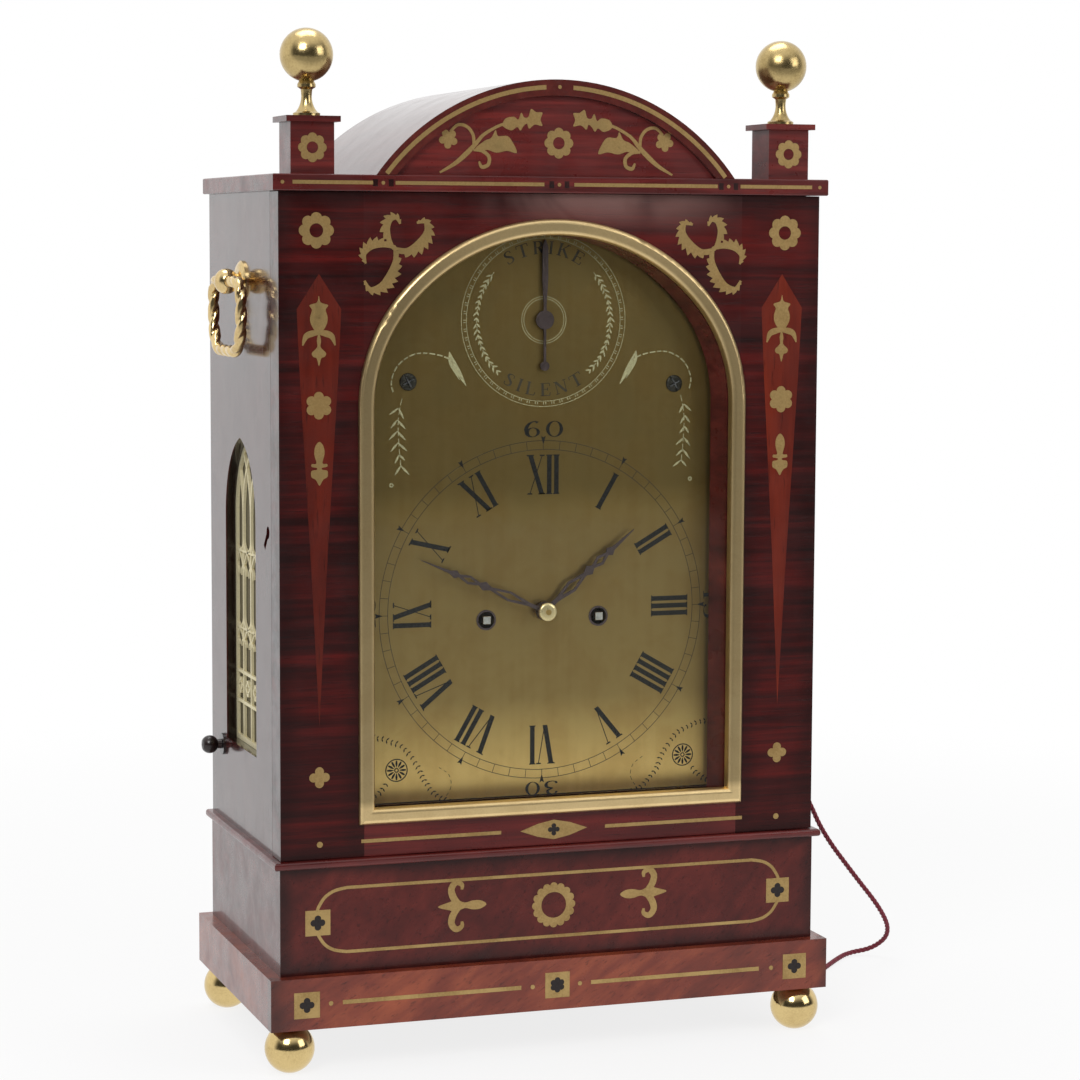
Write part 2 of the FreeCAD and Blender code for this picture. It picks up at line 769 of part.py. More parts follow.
def make_front_door():
    """Stiles, rail and arched head with a rebate for the glass, held by the brass bezel in front."""
    rebate_depth = s.door_thickness * 0.3
    rebate = arch_prism(0, s.front - 1, rebate_depth + 1)
    sight = arch_prism(s.glass_lip, s.front, s.door_thickness + 1)
    lip = "(aperture_half - glass_lip)"
    across = (f"-{lip}", f"2 * {lip}")
    full_y = ("front", "door_thickness")
    low = "body_bottom + door_gap"
    tall = "body_height - 2 * door_gap"
    stile = f"half - {lip}"
    blanks = {
        "front_stile_left": box("stile_left", ("-half", stile), full_y, (low, tall)),
        "front_stile_right": box("stile_right", (lip, stile), full_y, (low, tall)),
        "front_bottom_rail": box("rail", across, full_y, (low, "rail_height + glass_lip - door_gap")),
        "front_arched_head": box("head", across, full_y, ("spring", "body_top - door_gap - spring")),
    }
    pieces = {}
    for label, blank in blanks.items():
        tools = [shaped(label + "_rebate", rebate), shaped(label + "_sight", sight)]
        if label == "front_stile_left":
            tools.append(box("strike_pocket", ("-inner", "lock_thickness"),
                             ("door_back - bolt_throw - 1", "bolt_throw + 2"),
                             ("lock_z - bolt_tall / 2 - 0.5", "bolt_tall + 1")))
        if label == "front_stile_right":
            tools += [
                box(f"door_leaf_seat_{index}", ("half - leaf_width", "leaf_width + 1"),
                    ("door_back - leaf_thickness", "leaf_thickness + 1"), hinge_span(index))
                for index in range(2)
            ]
        pieces[label] = cut(label + "_cut", blank, tools)
    stiles = [pieces.pop("front_stile_left"), pieces.pop("front_stile_right")]
    node(group("stiles", stiles), "front_stiles")
    for label, piece in pieces.items():
        node(piece, label)
    ring = arch_prism(s.trim_gap, s.front - s.bezel_projection, s.bezel_depth)
    ring = ring.cut(arch_prism(s.bezel_width, s.front - s.bezel_projection - 1, s.bezel_depth + 2))
    front_edges = [edge for edge in ring.Edges if edge.BoundBox.YMax < s.front - s.bezel_projection + 0.1]
    node(shaped("bezel", ring.makeFillet(s.bezel_round, front_edges)), "front_bezel")
    glass_y = s.front - s.bezel_projection + s.bezel_depth
    node(shaped("pane", arch_prism(s.door_gap, glass_y, s.glass_thickness)), "front_glass")


def back_opening(inset, y, depth):
    """The back door's round-headed light, as a prism along Y."""
    half = s.inner - s.door_gap - s.back_stile_width - inset
    low = s.body_bottom + s.back_stile_width + inset
    spring = s.body_top - s.back_stile_width - half - inset
    edges = [
        Part.LineSegment(Vector(-half, y, low), Vector(half, y, low)).toShape(),
        Part.LineSegment(Vector(half, y, low), Vector(half, y, spring)).toShape(),
        Part.Arc(Vector(half, y, spring), Vector(0, y, spring + half), Vector(-half, y, spring)).toShape(),
        Part.LineSegment(Vector(-half, y, spring), Vector(-half, y, low)).toShape(),
    ]
    return Part.Face(Part.Wire(edges)).extrude(Vector(0, depth, 0))


def make_back_door():
    """A plain round-headed frame between the side panels, glazed from inside."""
    blank = box("back_door_blank", ("-inner + door_gap", "2 * (inner - door_gap)"),
                ("back_door_front", "back_door_thickness"),
                ("body_bottom + door_gap", "body_height - 2 * door_gap"))
    rebate_depth = s.glass_thickness + 2
    tools = [
        shaped("back_sight", back_opening(0, s.back_door_front - 1, s.back_door_thickness + 2)),
        shaped("back_rebate", back_opening(-s.glass_lip, s.back_door_front - 1, rebate_depth + 1)),
    ]
    latch_x = s.inner - s.back_stile_width / 2
    latch_z = (s.body_bottom + s.body_top) / 2
    latch_bore = disc(latch_x, latch_z, s.pin_radius + s.running_gap, s.back - 7, 8)
    tools.append(shaped("latch_hole", latch_bore))
    node(cut("back_door_cut", blank, tools), "back_door_frame")
    pane_y = s.back_door_front + rebate_depth - s.glass_thickness
    pane = back_opening(s.trim_gap - s.glass_lip, pane_y, s.glass_thickness)
    node(shaped("back_pane", pane), "back_glass")
    half = s.latch_width / 2
    arm = slab((latch_x - half, s.back + s.door_gap, latch_z - half),
               (latch_x + half, s.back + s.door_gap + s.latch_thickness, latch_z + s.latch_length - half))
    pivot = disc(latch_x, latch_z, s.pin_radius, s.back - 6, 8)
    washer = disc(latch_x, latch_z, half - 1, s.back + s.door_gap, s.latch_thickness + 1)
    node(shaped("latch", joined([arm, pivot, washer])), "back_latch")


def knuckles(x, y, start, spans, bore):
    """Parts of a hinge's barrel, as cylinders up the axis."""
    made = []
    for low, high in spans:
        base = Vector(x, y, start + low)
        barrel = Part.makeCylinder(s.knuckle_radius, high - low, base, Z)
        made.append(barrel.cut(Part.makeCylinder(bore, high - low, base, Z)) if bore else barrel)
    return made


def make_hinges():
    """Butt hinges: the case leaf carries the pin and the middle knuckle, the door leaf the outer two."""
    length = s.knuckle_length
    gap = s.door_gap / 2
    outer = [(0, length - gap), (2 * length + gap, 3 * length)]
    middle = [(length + gap, 2 * length - gap)]
    case_leaves = []
    front_leaves = []
    back_leaves = []
    for index in range(2):
        low = s.body_bottom + s.hinge_inset if index == 0 else s.body_top - s.hinge_inset - 3 * length
        axis = Vector(s.hinge_x, s.door_back, low)
        edge = s.half - s.leaf_width
        seam = s.door_back + s.door_gap
        pin = Part.makeCylinder(s.pin_radius, 3 * length, axis, Z)
        leaf = slab((edge, seam, low), (s.half - s.trim_gap, seam + s.leaf_thickness, low + 3 * length))
        bridge = slab((s.half - s.trim_gap, seam, low + middle[0][0]),
                      (s.hinge_x, seam + s.leaf_thickness, low + middle[0][1]))
        case_leaves.append(joined([pin, leaf, bridge] + knuckles(axis.x, axis.y, low, middle, 0)))
        leaf = slab((edge, s.door_back - s.leaf_thickness, low),
                    (s.half - s.trim_gap, s.door_back, low + 3 * length))
        parts = [leaf]
        for span, barrel in zip(outer, knuckles(axis.x, axis.y, low, outer, 0)):
            bridge = slab((s.half - s.trim_gap, s.door_back - s.leaf_thickness, low + span[0]),
                          (s.hinge_x, s.door_back, low + span[1]))
            parts += [barrel, bridge]
        bore = Part.makeCylinder(s.pin_radius + s.running_gap, 3 * length, axis, Z)
        front_leaves.append(joined(parts).cut(bore))

        rear = Vector(-s.inner, s.back_hinge_y, low)
        clear = s.knuckle_radius + s.door_gap
        pin = Part.makeCylinder(s.pin_radius, 3 * length, rear, Z)
        leaf = slab((-s.half + 1, s.back, low),
                    (-s.inner - clear, s.back + s.leaf_thickness, low + 3 * length))
        bridge = slab((-s.inner - clear - 1, s.back, low + middle[0][0]),
                      (-s.inner - s.knuckle_radius / 2, s.back_hinge_y, low + middle[0][1]))
        case_leaves.append(joined([pin, leaf, bridge] + knuckles(rear.x, rear.y, low, middle, 0)))
        leaf = slab((-s.inner + clear, s.back, low),
                    (-s.inner + s.leaf_width, s.back + s.leaf_thickness, low + 3 * length))
        parts = [leaf]
        for span, barrel in zip(outer, knuckles(rear.x, rear.y, low, outer, 0)):
            bridge = slab((-s.inner + s.knuckle_radius / 2, s.back, low + span[0]),
                          (-s.inner + clear + 1, s.back_hinge_y, low + span[1]))
            parts += [barrel, bridge]
        bore = Part.makeCylinder(s.pin_radius + s.running_gap, 3 * length, rear, Z)
        back_leaves.append(joined(parts).cut(bore))
    node(shaped("hinges_on_case", Part.makeCompound(case_leaves)), "case_hinge_leaves")
    node(shaped("hinges_on_door", Part.makeCompound(front_leaves)), "front_hinge_leaves")
    node(shaped("hinges_on_back_door", Part.makeCompound(back_leaves)), "back_hinge_leaves")


def make_lock():
    """A lock on the left panel's inner face, whose bolt shoots forward into the door's stile."""
    gap = s.running_gap
    bolt_x = -s.inner + s.lock_thickness / 2
    rear = s.door_back + s.door_gap
    case = slab((-s.inner, rear, s.lock_z - s.lock_tall / 2),
                (-s.inner + s.lock_thickness, rear + s.lock_depth, s.lock_z + s.lock_tall / 2))
    half = s.bolt_width / 2
    tall = s.bolt_tall / 2
    channel = slab((bolt_x - half - gap, rear - 1, s.lock_z - tall - gap),
                   (bolt_x + half + gap, rear + s.bolt_length + gap, s.lock_z + tall + gap))
    node(shaped("lock", case.cut(channel)), "lock_case")
    bolt = slab((bolt_x - half, rear, s.lock_z - tall),
                (bolt_x + half, rear + s.bolt_length, s.lock_z + tall))
    node(shaped("bolt", bolt), "lock_bolt")


# ---------------------------------------------------------------- handles and pull repeat


def swept(path, start, along, radius):
    """A round bar along an open wire of tangent runs and arcs."""
    section = Part.Wire(Part.Circle(start, along, radius).toShape())
    return path.makePipeShell([section], True, False)


def make_handles():
    """Ring handles whose plain top bar turns in the eye of a turned boss."""
    half = s.handle_half
    top = s.handle_top_corner
    low = s.handle_bottom_corner
    bosses = []
    for side, label in ((-1, "handle_left"), (1, "handle_right")):
        x = side * s.handle_x

        def at(across, down):
            return Vector(x, s.handle_y + across, s.handle_z - down)

        def bend(across, down, radius, degrees):
            angle = math.radians(degrees)
            return at(across + radius * math.cos(angle), down - radius * math.sin(angle))
        drop = s.handle_drop
        corners = (
            (half - top, top, top, 90), (half - low, drop - low, low, 0),
            (low - half, drop - low, low, 270), (top - half, top, top, 180),
        )
        edges = []
        start = at(0, 0)
        for across, down, radius, degrees in corners:
            entry = bend(across, down, radius, degrees)
            middle = bend(across, down, radius, degrees - 45)
            leave = bend(across, down, radius, degrees - 90)
            edges.append(Part.LineSegment(start, entry).toShape())
            edges.append(Part.Arc(entry, middle, leave).toShape())
            start = leave
        leave_low = at(half - low, drop)
        edges.append(Part.LineSegment(start, at(0, 0)).toShape())
        ring = [
            swept(Part.Wire(run), first, Y, s.handle_bar_radius)
            for run, first in ((edges[:4], at(0, 0)), (edges[4:], leave_low))
        ]
        node(shaped(label + "_ring", joined(ring)), label)
        flange = s.boss_flange_radius
        height = s.handle_standoff
        outline = [
            [(0, 0)], [(flange, 0)], [(flange, 1)], [(flange - 2.2, 2.6), (5, 3)],
            [(4.2, height - s.boss_radius * 0.7)],
            [(s.boss_radius, height), (0, height + s.boss_radius)], [(0, 0)],
        ]
        boss = turned(outline, Vector(side * s.half, s.handle_y, s.handle_z), X * side)
        eye = Part.makeCylinder(s.handle_bar_radius + s.running_gap, 30,
                                Vector(x, s.handle_y - 15, s.handle_z), Y)
        bosses.append(boss.cut(eye))
    node(shaped("bosses", Part.makeCompound(bosses)), "handle_bosses")


def make_pull_repeat():
    """The knob on the left side, the bushes in both sides and the cord from the right one."""
    sleeve = s.bush_radius * 0.6
    stem_bore = s.knob_stem_radius + s.running_gap
    bushes = []
    for side in (-1, 1):
        face = Vector(side * s.half, s.pull_y, s.pull_z)
        flange = Part.makeCylinder(s.bush_radius, s.bush_flange, face, X * side)
        tube = Part.makeCylinder(sleeve, s.wall, face, X * -side)
        bush = joined([flange, tube])
        if side < 0:
            bush = bush.cut(Part.makeCylinder(stem_bore, s.wall + 20, face - X * 10, X))
        bushes.append(bush)
    node(shaped("bushes", Part.makeCompound(bushes)), "cord_bushes")
    stem = s.knob_stem_radius
    knob = s.knob_radius
    length = s.knob_length
    start = -s.half - s.bush_flange - s.end_shake
    outline = [
        [(0, -s.knob_stem_length)], [(stem, -s.knob_stem_length)], [(stem, 0)], [(knob * 0.55, 0)],
        [(knob * 0.5, length * 0.2)], [(knob, length * 0.55), (knob * 0.55, length * 0.95)],
        [(0, length)], [(0, -s.knob_stem_length)],
    ]
    node(shaped("knob", turned(outline, Vector(start, s.pull_y, s.pull_z), X * -1)), "repeat_knob")
    node(shaped("cord", cord_tube(CORD_ROUTE, s.cord_radius)), "repeat_cord")
    end = Vector(*CORD_ROUTE[-1])
    along = (end - Vector(*CORD_ROUTE[-2])).normalize()
    toggle = [
        [(0, 0)], [(2, 0)], [(4.4, 4.5), (4.2, 8)], [(2.6, 12.5)], [(3, 14)], [(0, 15.5)], [(0, 0)],
    ]
    along.z = 0
    node(shaped("toggle", turned(toggle, end, along)), "cord_toggle")


def cord_tube(route, radius):
    """A round tube along straight runs joined by tangent arcs."""
    points = [Vector(*point) for point in route]
    edges = []
    start = points[0]
    for before, corner, after in zip(points, points[1:], points[2:]):
        arriving = (corner - before).normalize()
        leaving = (after - corner).normalize()
        turn = arriving.getAngle(leaving)
        reach = 0.45 * min((corner - before).Length, (after - corner).Length)
        bend = reach / math.tan(turn / 2)
        entry = corner - arriving * reach
        leave = corner + leaving * reach
        inward = (leaving - arriving).normalize()
        middle = corner + inward * (bend / math.cos(turn / 2) - bend)
        edges.append(Part.LineSegment(start, entry).toShape())
        edges.append(Part.Arc(entry, middle, leave).toShape())
        print(f"cord bend radius {bend:.1f} mm")
        start = leave
    edges.append(Part.LineSegment(start, points[-1]).toShape())
    path = Part.Wire(edges)
    tube = swept(path, points[0], points[1] - points[0], radius)
    section = math.pi * radius ** 2
    print(f"cord length {path.Length:.1f} mm, volume over section {tube.Volume / section:.1f}")
    return tube


# ---------------------------------------------------------------- dial and plates


def make_dial():
    """Wooden mask, arched brass dial with its four feet, and the board that carries the movement."""
    lock_room = (s.lock_z - s.lock_tall / 2 - 1, s.lock_z + s.lock_tall / 2 + 1)
    mask_y = s.front + s.mask_set_back
    blank = slab((-s.inner, mask_y, s.body_bottom), (s.inner, mask_y + s.mask_thickness, s.body_top))
    hole = arch_prism(s.bezel_width - s.dial_overlap - 0.4, mask_y - 1, s.mask_thickness + 2)
    notch = slab((-s.inner - 1, mask_y - 1, lock_room[0]),
                 (-s.inner + s.lock_thickness + 1, mask_y + s.mask_thickness + 1, lock_room[1]))
    node(shaped("mask", blank.cut(hole).cut(notch)), "dial_mask")

    dial = arch_prism(s.bezel_width - s.dial_overlap, s.dial_front, s.dial_thickness)
    strike_hole = (0, s.centre + s.strike_dial_rise, s.arbor_radius + s.running_gap)
    holes = [(0, s.centre, s.collet_radius), strike_hole]
    holes += [(side * s.winding_spread, s.winding, s.winding_hole_radius) for side in (-1, 1)]
    for x, z, radius in holes:
        dial = dial.cut(disc(x, z, radius, s.dial_front - 1, s.dial_thickness + 2))
    foot_length = s.plate_front - s.dial_back
    feet = [disc(x, z, s.dial_foot_radius, s.dial_back, foot_length) for x, z in foot_places()]
    node(shaped("dial", joined([dial] + feet)), "dial_plate")

    seat = doc.addObject("PartDesign::Body", "seat_board")
    low = ("-inner", "plate_front - 8")
    high = ("inner", "plate_front - 8 + seat_board_depth")
    padded(seat, rectangle(seat, "seat_outline", "XY_Plane", low, high), "seat_board_thickness")
    node(bind(seat, {"Placement.Base.z": "seat_top - seat_board_thickness"}), "seat_board")


def foot_places():
    """Dial feet, at the corners of the front plate clear of the wheels."""
    across = s.plate_half - s.pillar_inset - 1
    return [(side * across, z) for side in (-1, 1) for z in (s.seat_top + 28, s.plate_top - 28)]


def pillar_places():
    across = s.plate_half - s.pillar_inset
    heights = (s.seat_top + s.pillar_inset, s.plate_top - s.pillar_inset)
    return [(side * across, z) for side in (-1, 1) for z in heights]


def arbor_places():
    """Each arbor's name with its place and its pivot radius in the plates."""
    third = (s.third_offset, s.centre + math.sqrt(s.centre_third_distance ** 2 - s.third_offset ** 2))
    escape = (0, third[1] + math.sqrt(s.third_escape_distance ** 2 - s.third_offset ** 2))
    pin_drop = s.strike_distance * math.sin(math.radians(51))
    pin_across = s.strike_distance * math.cos(math.radians(51))
    return {
        "centre": (0, s.centre, s.arbor_radius),
        "third": (*third, s.fine_pivot_radius),
        "escape": (*escape, s.fine_pivot_radius),
        "pallets": (0, escape[1] + s.pallet_distance, s.arbor_radius),
        "going": (s.winding_spread, s.winding, s.winding_arbor_radius),
        "striking": (-s.winding_spread, s.winding, s.winding_arbor_radius),
        "going_barrel": (s.barrel_spread, s.barrels, s.pivot_radius),
        "striking_barrel": (-s.barrel_spread, s.barrels, s.pivot_radius),
        "pins": (-s.winding_spread - pin_across, s.winding + pin_drop, s.pivot_radius),
        "hammer": (-s.hammer_spread, s.plate_top - s.hammer_drop, s.pivot_radius),
    }


def make_plates():
    """Front and back plates with their pivot holes, and the four pillars between them."""
    rounds = [(f"{x:.6g}", f"{z - s.seat_top:.6g}", f"{radius:.6g} + running_gap")
              for x, z, radius in arbor_places().values()]
    stud = ("0", "centre - motion_distance - seat_top", "pivot_radius + running_gap")
    for label, face, holes in (
        ("front_plate", "plate_inside", rounds + [stud]),
        ("back_plate", "plate_back", rounds),
    ):
        body = doc.addObject("PartDesign::Body", label)
        outline = rectangle(body, label + "_outline", "XZ_Plane",
                            ("-plate_half", "0"), ("plate_half", "plate_height"))
        padded(body, outline, "plate_thickness")
        pocketed(body, circles(body, label + "_pivots", "XZ_Plane", holes), "2 * plate_thickness + 1")
        node(bind(body, {"Placement.Base.y": face, "Placement.Base.z": "seat_top"}), label)
    pillars = []
    for x, z in pillar_places():
        half = s.plate_gap / 2
        collar = s.pillar_radius + 1.5
        outline = [
            [(0, 0)], [(collar, 0)], [(collar, 3)], [(s.pillar_radius, 5)], [(s.pillar_radius, half - 2)],
            [(collar, half), (s.pillar_radius, half + 2)], [(s.pillar_radius, s.plate_gap - 5)],
            [(collar, s.plate_gap - 3)], [(collar, s.plate_gap)], [(0, s.plate_gap)], [(0, 0)],
        ]
        pillars.append(turned(outline, Vector(x, s.plate_inside, z), Y))
    node(shaped("pillars", Part.makeCompound(pillars)), "plate_pillars")


# ---------------------------------------------------------------- wheels


def toothed(place, y, thickness, teeth, pitch_radius, rise, depth, toward, tooth, bore=0):
    """A wheel or pinion with pointed teeth; a tooth, or else a space, faces the given angle."""
    x, z = place
    pitch = 2 * math.pi / teeth
    start = toward if tooth else toward + pitch / 2
    points = []
    for index in range(int(teeth)):
        for angle, radius in ((start + index * pitch, pitch_radius + rise),
                              (start + (index + 0.5) * pitch, pitch_radius - depth)):
            points.append(Vector(x + radius * math.cos(angle), y, z + radius * math.sin(angle)))
    wheel = loop(points).extrude(Vector(0, thickness, 0))
    return wheel.cut(disc(x, z, bore, y, thickness)) if bore else wheel


def crossed_out(wheel, place, y, thickness, inner, outer):
    """The wheel with four openings between its arms."""
    x, z = place
    for quarter in range(4):
        middle = math.pi / 4 + quarter * math.pi / 2
        points = []
        for radius, spread in (
            (inner, 0.36), (outer, 0.66), (outer * 1.04, 0), (outer, -0.66), (inner, -0.36),
        ):
            angle = middle + spread
            points.append(Vector(x + radius * math.cos(angle), y, z + radius * math.sin(angle)))
        wheel = wheel.cut(loop(points).extrude(Vector(0, thickness, 0)))
    return wheel


def arbor(place, pivot, radius=None):
    """An arbor between the plates with a pivot in each of them."""
    x, z = place
    body_radius = radius or s.arbor_radius
    body = disc(x, z, body_radius, s.plate_inside + s.end_shake, s.plate_gap - 2 * s.end_shake)
    return [body, disc(x, z, pivot, s.plate_front, s.plate_back - s.plate_front)]


def mesh_sizes(distance, wheel_teeth, pinion_teeth):
    """Module and the two pitch radii of a pair at its centre distance."""
    module = 2 * distance / (wheel_teeth + pinion_teeth)
    return module, module * wheel_teeth / 2, module * pinion_teeth / 2


WHEEL_RISE, WHEEL_DEPTH = 0.9, 1.2
PINION_RISE, PINION_DEPTH = 0.35, 1.2


def wheel_at(place, other, y, thickness, distance, teeth, mate_teeth, bore=0):
    """The larger wheel of a pair, with a tooth on the line of centres."""
    module, radius, _ = mesh_sizes(distance, teeth, mate_teeth)
    toward = math.atan2(other[1] - place[1], other[0] - place[0])
    rise, depth = WHEEL_RISE * module, WHEEL_DEPTH * module
    return toothed(place, y, thickness, teeth, radius, rise, depth, toward, True, bore)


def pinion_at(place, other, y, thickness, distance, leaves, wheel_teeth):
    """The pinion of a pair, with a space on the line of centres."""
    module, _, radius = mesh_sizes(distance, wheel_teeth, leaves)
    toward = math.atan2(other[1] - place[1], other[0] - place[0])
    rise, depth = PINION_RISE * module, PINION_DEPTH * module
    return toothed(place, y, thickness, leaves, radius, rise, depth, toward, False)


def make_going_train():
    """Great, centre, third and escape wheels on their arbors, with the pallets above."""
    at = {name: place[:2] for name, place in arbor_places().items()}
    thick = s.wheel_thickness
    centre_y = s.plate_inside + 5.5
    third_y = s.plate_inside + 18.5
    escape_y = s.plate_inside + 38.5
    great_y = s.plate_far - 8.5
    great_distance = math.hypot(s.winding_spread, s.winding_drop)

    great = wheel_at(at["going"], at["centre"], great_y, s.great_thickness, great_distance,
                     s.great_teeth, s.centre_pinion_leaves, s.winding_arbor_radius + s.running_gap)
    great = crossed_out(great, at["going"], great_y, s.great_thickness, 9, 24)
    collet = disc(*at["going"], 6, great_y, 5.5, s.winding_arbor_radius + s.running_gap)
    node(shaped("great", joined([great, collet])), "going_great_wheel")

    centre = wheel_at(at["centre"], at["third"], centre_y, thick, s.centre_third_distance,
                      s.centre_teeth, s.third_pinion_leaves)
    centre = crossed_out(centre, at["centre"], centre_y, thick, 6, 20)
    leaves = pinion_at(at["centre"], at["going"], great_y - 2, s.great_thickness + 4, great_distance,
                       s.centre_pinion_leaves, s.great_teeth)
    motion_module, motion_radius, _ = mesh_sizes(s.motion_distance, s.motion_teeth, s.motion_teeth)
    cannon = toothed(at["centre"], s.plate_front - 5, 3, s.motion_teeth, motion_radius,
                     0.55 * motion_module, WHEEL_DEPTH * motion_module, -math.pi / 2, True)
    hand_back = hand_levels()["minute"] + s.hand_thickness
    pipe = disc(*at["centre"], 2.2, hand_back, s.plate_front - 2 - hand_back)
    tip = hand_levels()["minute"] - 3.5
    post = disc(*at["centre"], s.arbor_radius, tip, s.plate_back - tip)
    node(shaped("centre", joined([centre, leaves, cannon, pipe, post])), "centre_wheel")

    third = wheel_at(at["third"], at["escape"], third_y, thick, s.third_escape_distance,
                     s.third_teeth, s.escape_pinion_leaves)
    third = crossed_out(third, at["third"], third_y, thick, 5, 16.5)
    leaves = pinion_at(at["third"], at["centre"], centre_y - 2, thick + 4, s.centre_third_distance,
                       s.third_pinion_leaves, s.centre_teeth)
    fine = (s.fine_pivot_radius, s.fine_arbor_radius)
    node(shaped("third", joined([third, leaves] + arbor(at["third"], *fine))), "third_wheel")

    x, z = at["escape"]
    pitch = 2 * math.pi / s.escape_teeth
    points = []
    for index in range(int(s.escape_teeth)):
        for share, radius in ((0, s.escape_radius), (0.22, s.escape_radius - 3)):
            angle = (index + share) * pitch
            points.append(Vector(x + radius * math.cos(angle), escape_y, z + radius * math.sin(angle)))
    escape = loop(points).extrude(Vector(0, thick, 0))
    escape = crossed_out(escape, at["escape"], escape_y, thick, 4, 10)
    leaves = pinion_at(at["escape"], at["third"], third_y - 2, thick + 4, s.third_escape_distance,
                       s.escape_pinion_leaves, s.third_teeth)
    node(shaped("escape", joined([escape, leaves] + arbor(at["escape"], *fine))), "escape_wheel")
    make_pallets(at["escape"], at["pallets"], escape_y)


def make_pallets(escape, pivot, escape_y):
    """The anchor with its arbor, and the crutch behind the back plate."""
    x, z = pivot
    reach = s.escape_radius + 1.5
    tip = reach * math.sin(math.radians(45))
    outline = [
        (-2, 3), (2, 3), (tip + 2.5, escape[1] - z + tip + 3.5), (tip + 2.2, escape[1] - z + tip + 0.4),
        (tip, escape[1] - z + tip), (tip - 1.5, escape[1] - z + tip + 3.2), (0, -3),
        (1.5 - tip, escape[1] - z + tip + 3.2), (-tip, escape[1] - z + tip),
        (-tip - 2.2, escape[1] - z + tip + 0.4), (-tip - 2.5, escape[1] - z + tip + 3.5),
    ]
    anchor = loop([Vector(x + dx, escape_y - 1, z + dz) for dx, dz in outline]).extrude(Vector(0, 4, 0))
    cock_y = cock_level()
    post = disc(x, z, s.arbor_radius, s.plate_front, cock_y + 3 - s.plate_front)
    hub = disc(x, z, 3.5, s.plate_back + 1.2, 2)
    low = z - s.crutch_length
    arm = slab((x - 1.3, s.plate_back + 1.4, low), (x + 1.3, s.plate_back + 2.9, z))
    fork_y = pendulum_plane()
    bar = slab((x - 3, s.plate_back + 1.4, low), (x + 3, fork_y - s.rod_radius - 0.4, low + 3))
    prongs = [
        slab((x + side * (s.rod_radius + 0.4), fork_y - s.rod_radius - 0.4, low),
             (x + side * 3, fork_y + s.rod_radius + 1, low + 3))
        for side in (-1, 1)
    ]
    node(shaped("anchor", joined([anchor, post, hub, arm, bar] + prongs)), "pallets_and_crutch")


def cock_level():
    """Front face of the back cock's bridge."""
    return s.plate_back + 6


def pendulum_plane():
    return s.plate_back + 11.5


def make_back_cock():
    """The bridge behind the back plate that carries the pallet arbor and the pendulum's spring."""
    x, z, radius = arbor_places()["pallets"]
    y = cock_level()
    bridge = slab((x - 22, y, z - 6), (x + 22, y + 3, z + 6))
    feet = [slab((x + side * 16, s.plate_back, z - 6), (x + side * 22, y, z + 6)) for side in (-1, 1)]
    chops = slab((x - 5, y + 3, z + 3), (x + 5, pendulum_plane() + 3, z + 11))
    neck = slab((x - 5, y, z + 3), (x + 5, y + 3, z + 11))
    strip = slab((x - 2.5, pendulum_plane() - 0.15, z + 0.3), (x + 2.5, pendulum_plane() + 0.15, z + 3))
    cock = joined([bridge, chops, neck, strip] + feet)
    node(shaped("cock", cock.cut(disc(x, z, radius + s.running_gap, y - 1, 5))), "back_cock")


def make_pendulum():
    """Spring, rod, lens-shaped bob and rating nut; it swings about the pallet arbor's line."""
    x, z, _ = arbor_places()["pallets"]
    y = pendulum_plane()
    middle = z - s.pendulum_length
    strip = slab((x - 2.5, y - 0.15, z - 10), (x + 2.5, y + 0.15, z - s.end_shake))
    top = slab((x - 3, y - 1.5, z - 14), (x + 3, y + 1.5, z - 10))
    rod_end = middle - s.bob_radius - 11
    shaft = Part.makeCylinder(s.rod_radius, z - 12 - rod_end, Vector(x, y, rod_end), Z)
    half = s.bob_thickness / 2
    outline = [
        [(0, -half)], [(s.bob_radius * 0.6, -half * 0.78), (s.bob_radius - 0.6, -0.8)],
        [(s.bob_radius, 0), (s.bob_radius - 0.6, 0.8)],
        [(s.bob_radius * 0.6, half * 0.78), (0, half)], [(0, -half)],
    ]
    bob = turned(outline, Vector(x, y, middle), Y)
    nut = Part.makeCylinder(4, 4, Vector(x, y, middle - s.bob_radius - 7), Z)
    node(shaped("swing", joined([strip, top, shaft, bob, nut])), "pendulum")


def hand_levels():
    """Front face of each hand and wheel of the motion work."""
    return {
        "minute": s.dial_front - 7,
        "hour": s.dial_front - 4.2,
        "strike": s.dial_front - 2.2,
        "hour_wheel": s.plate_front - 11,
    }


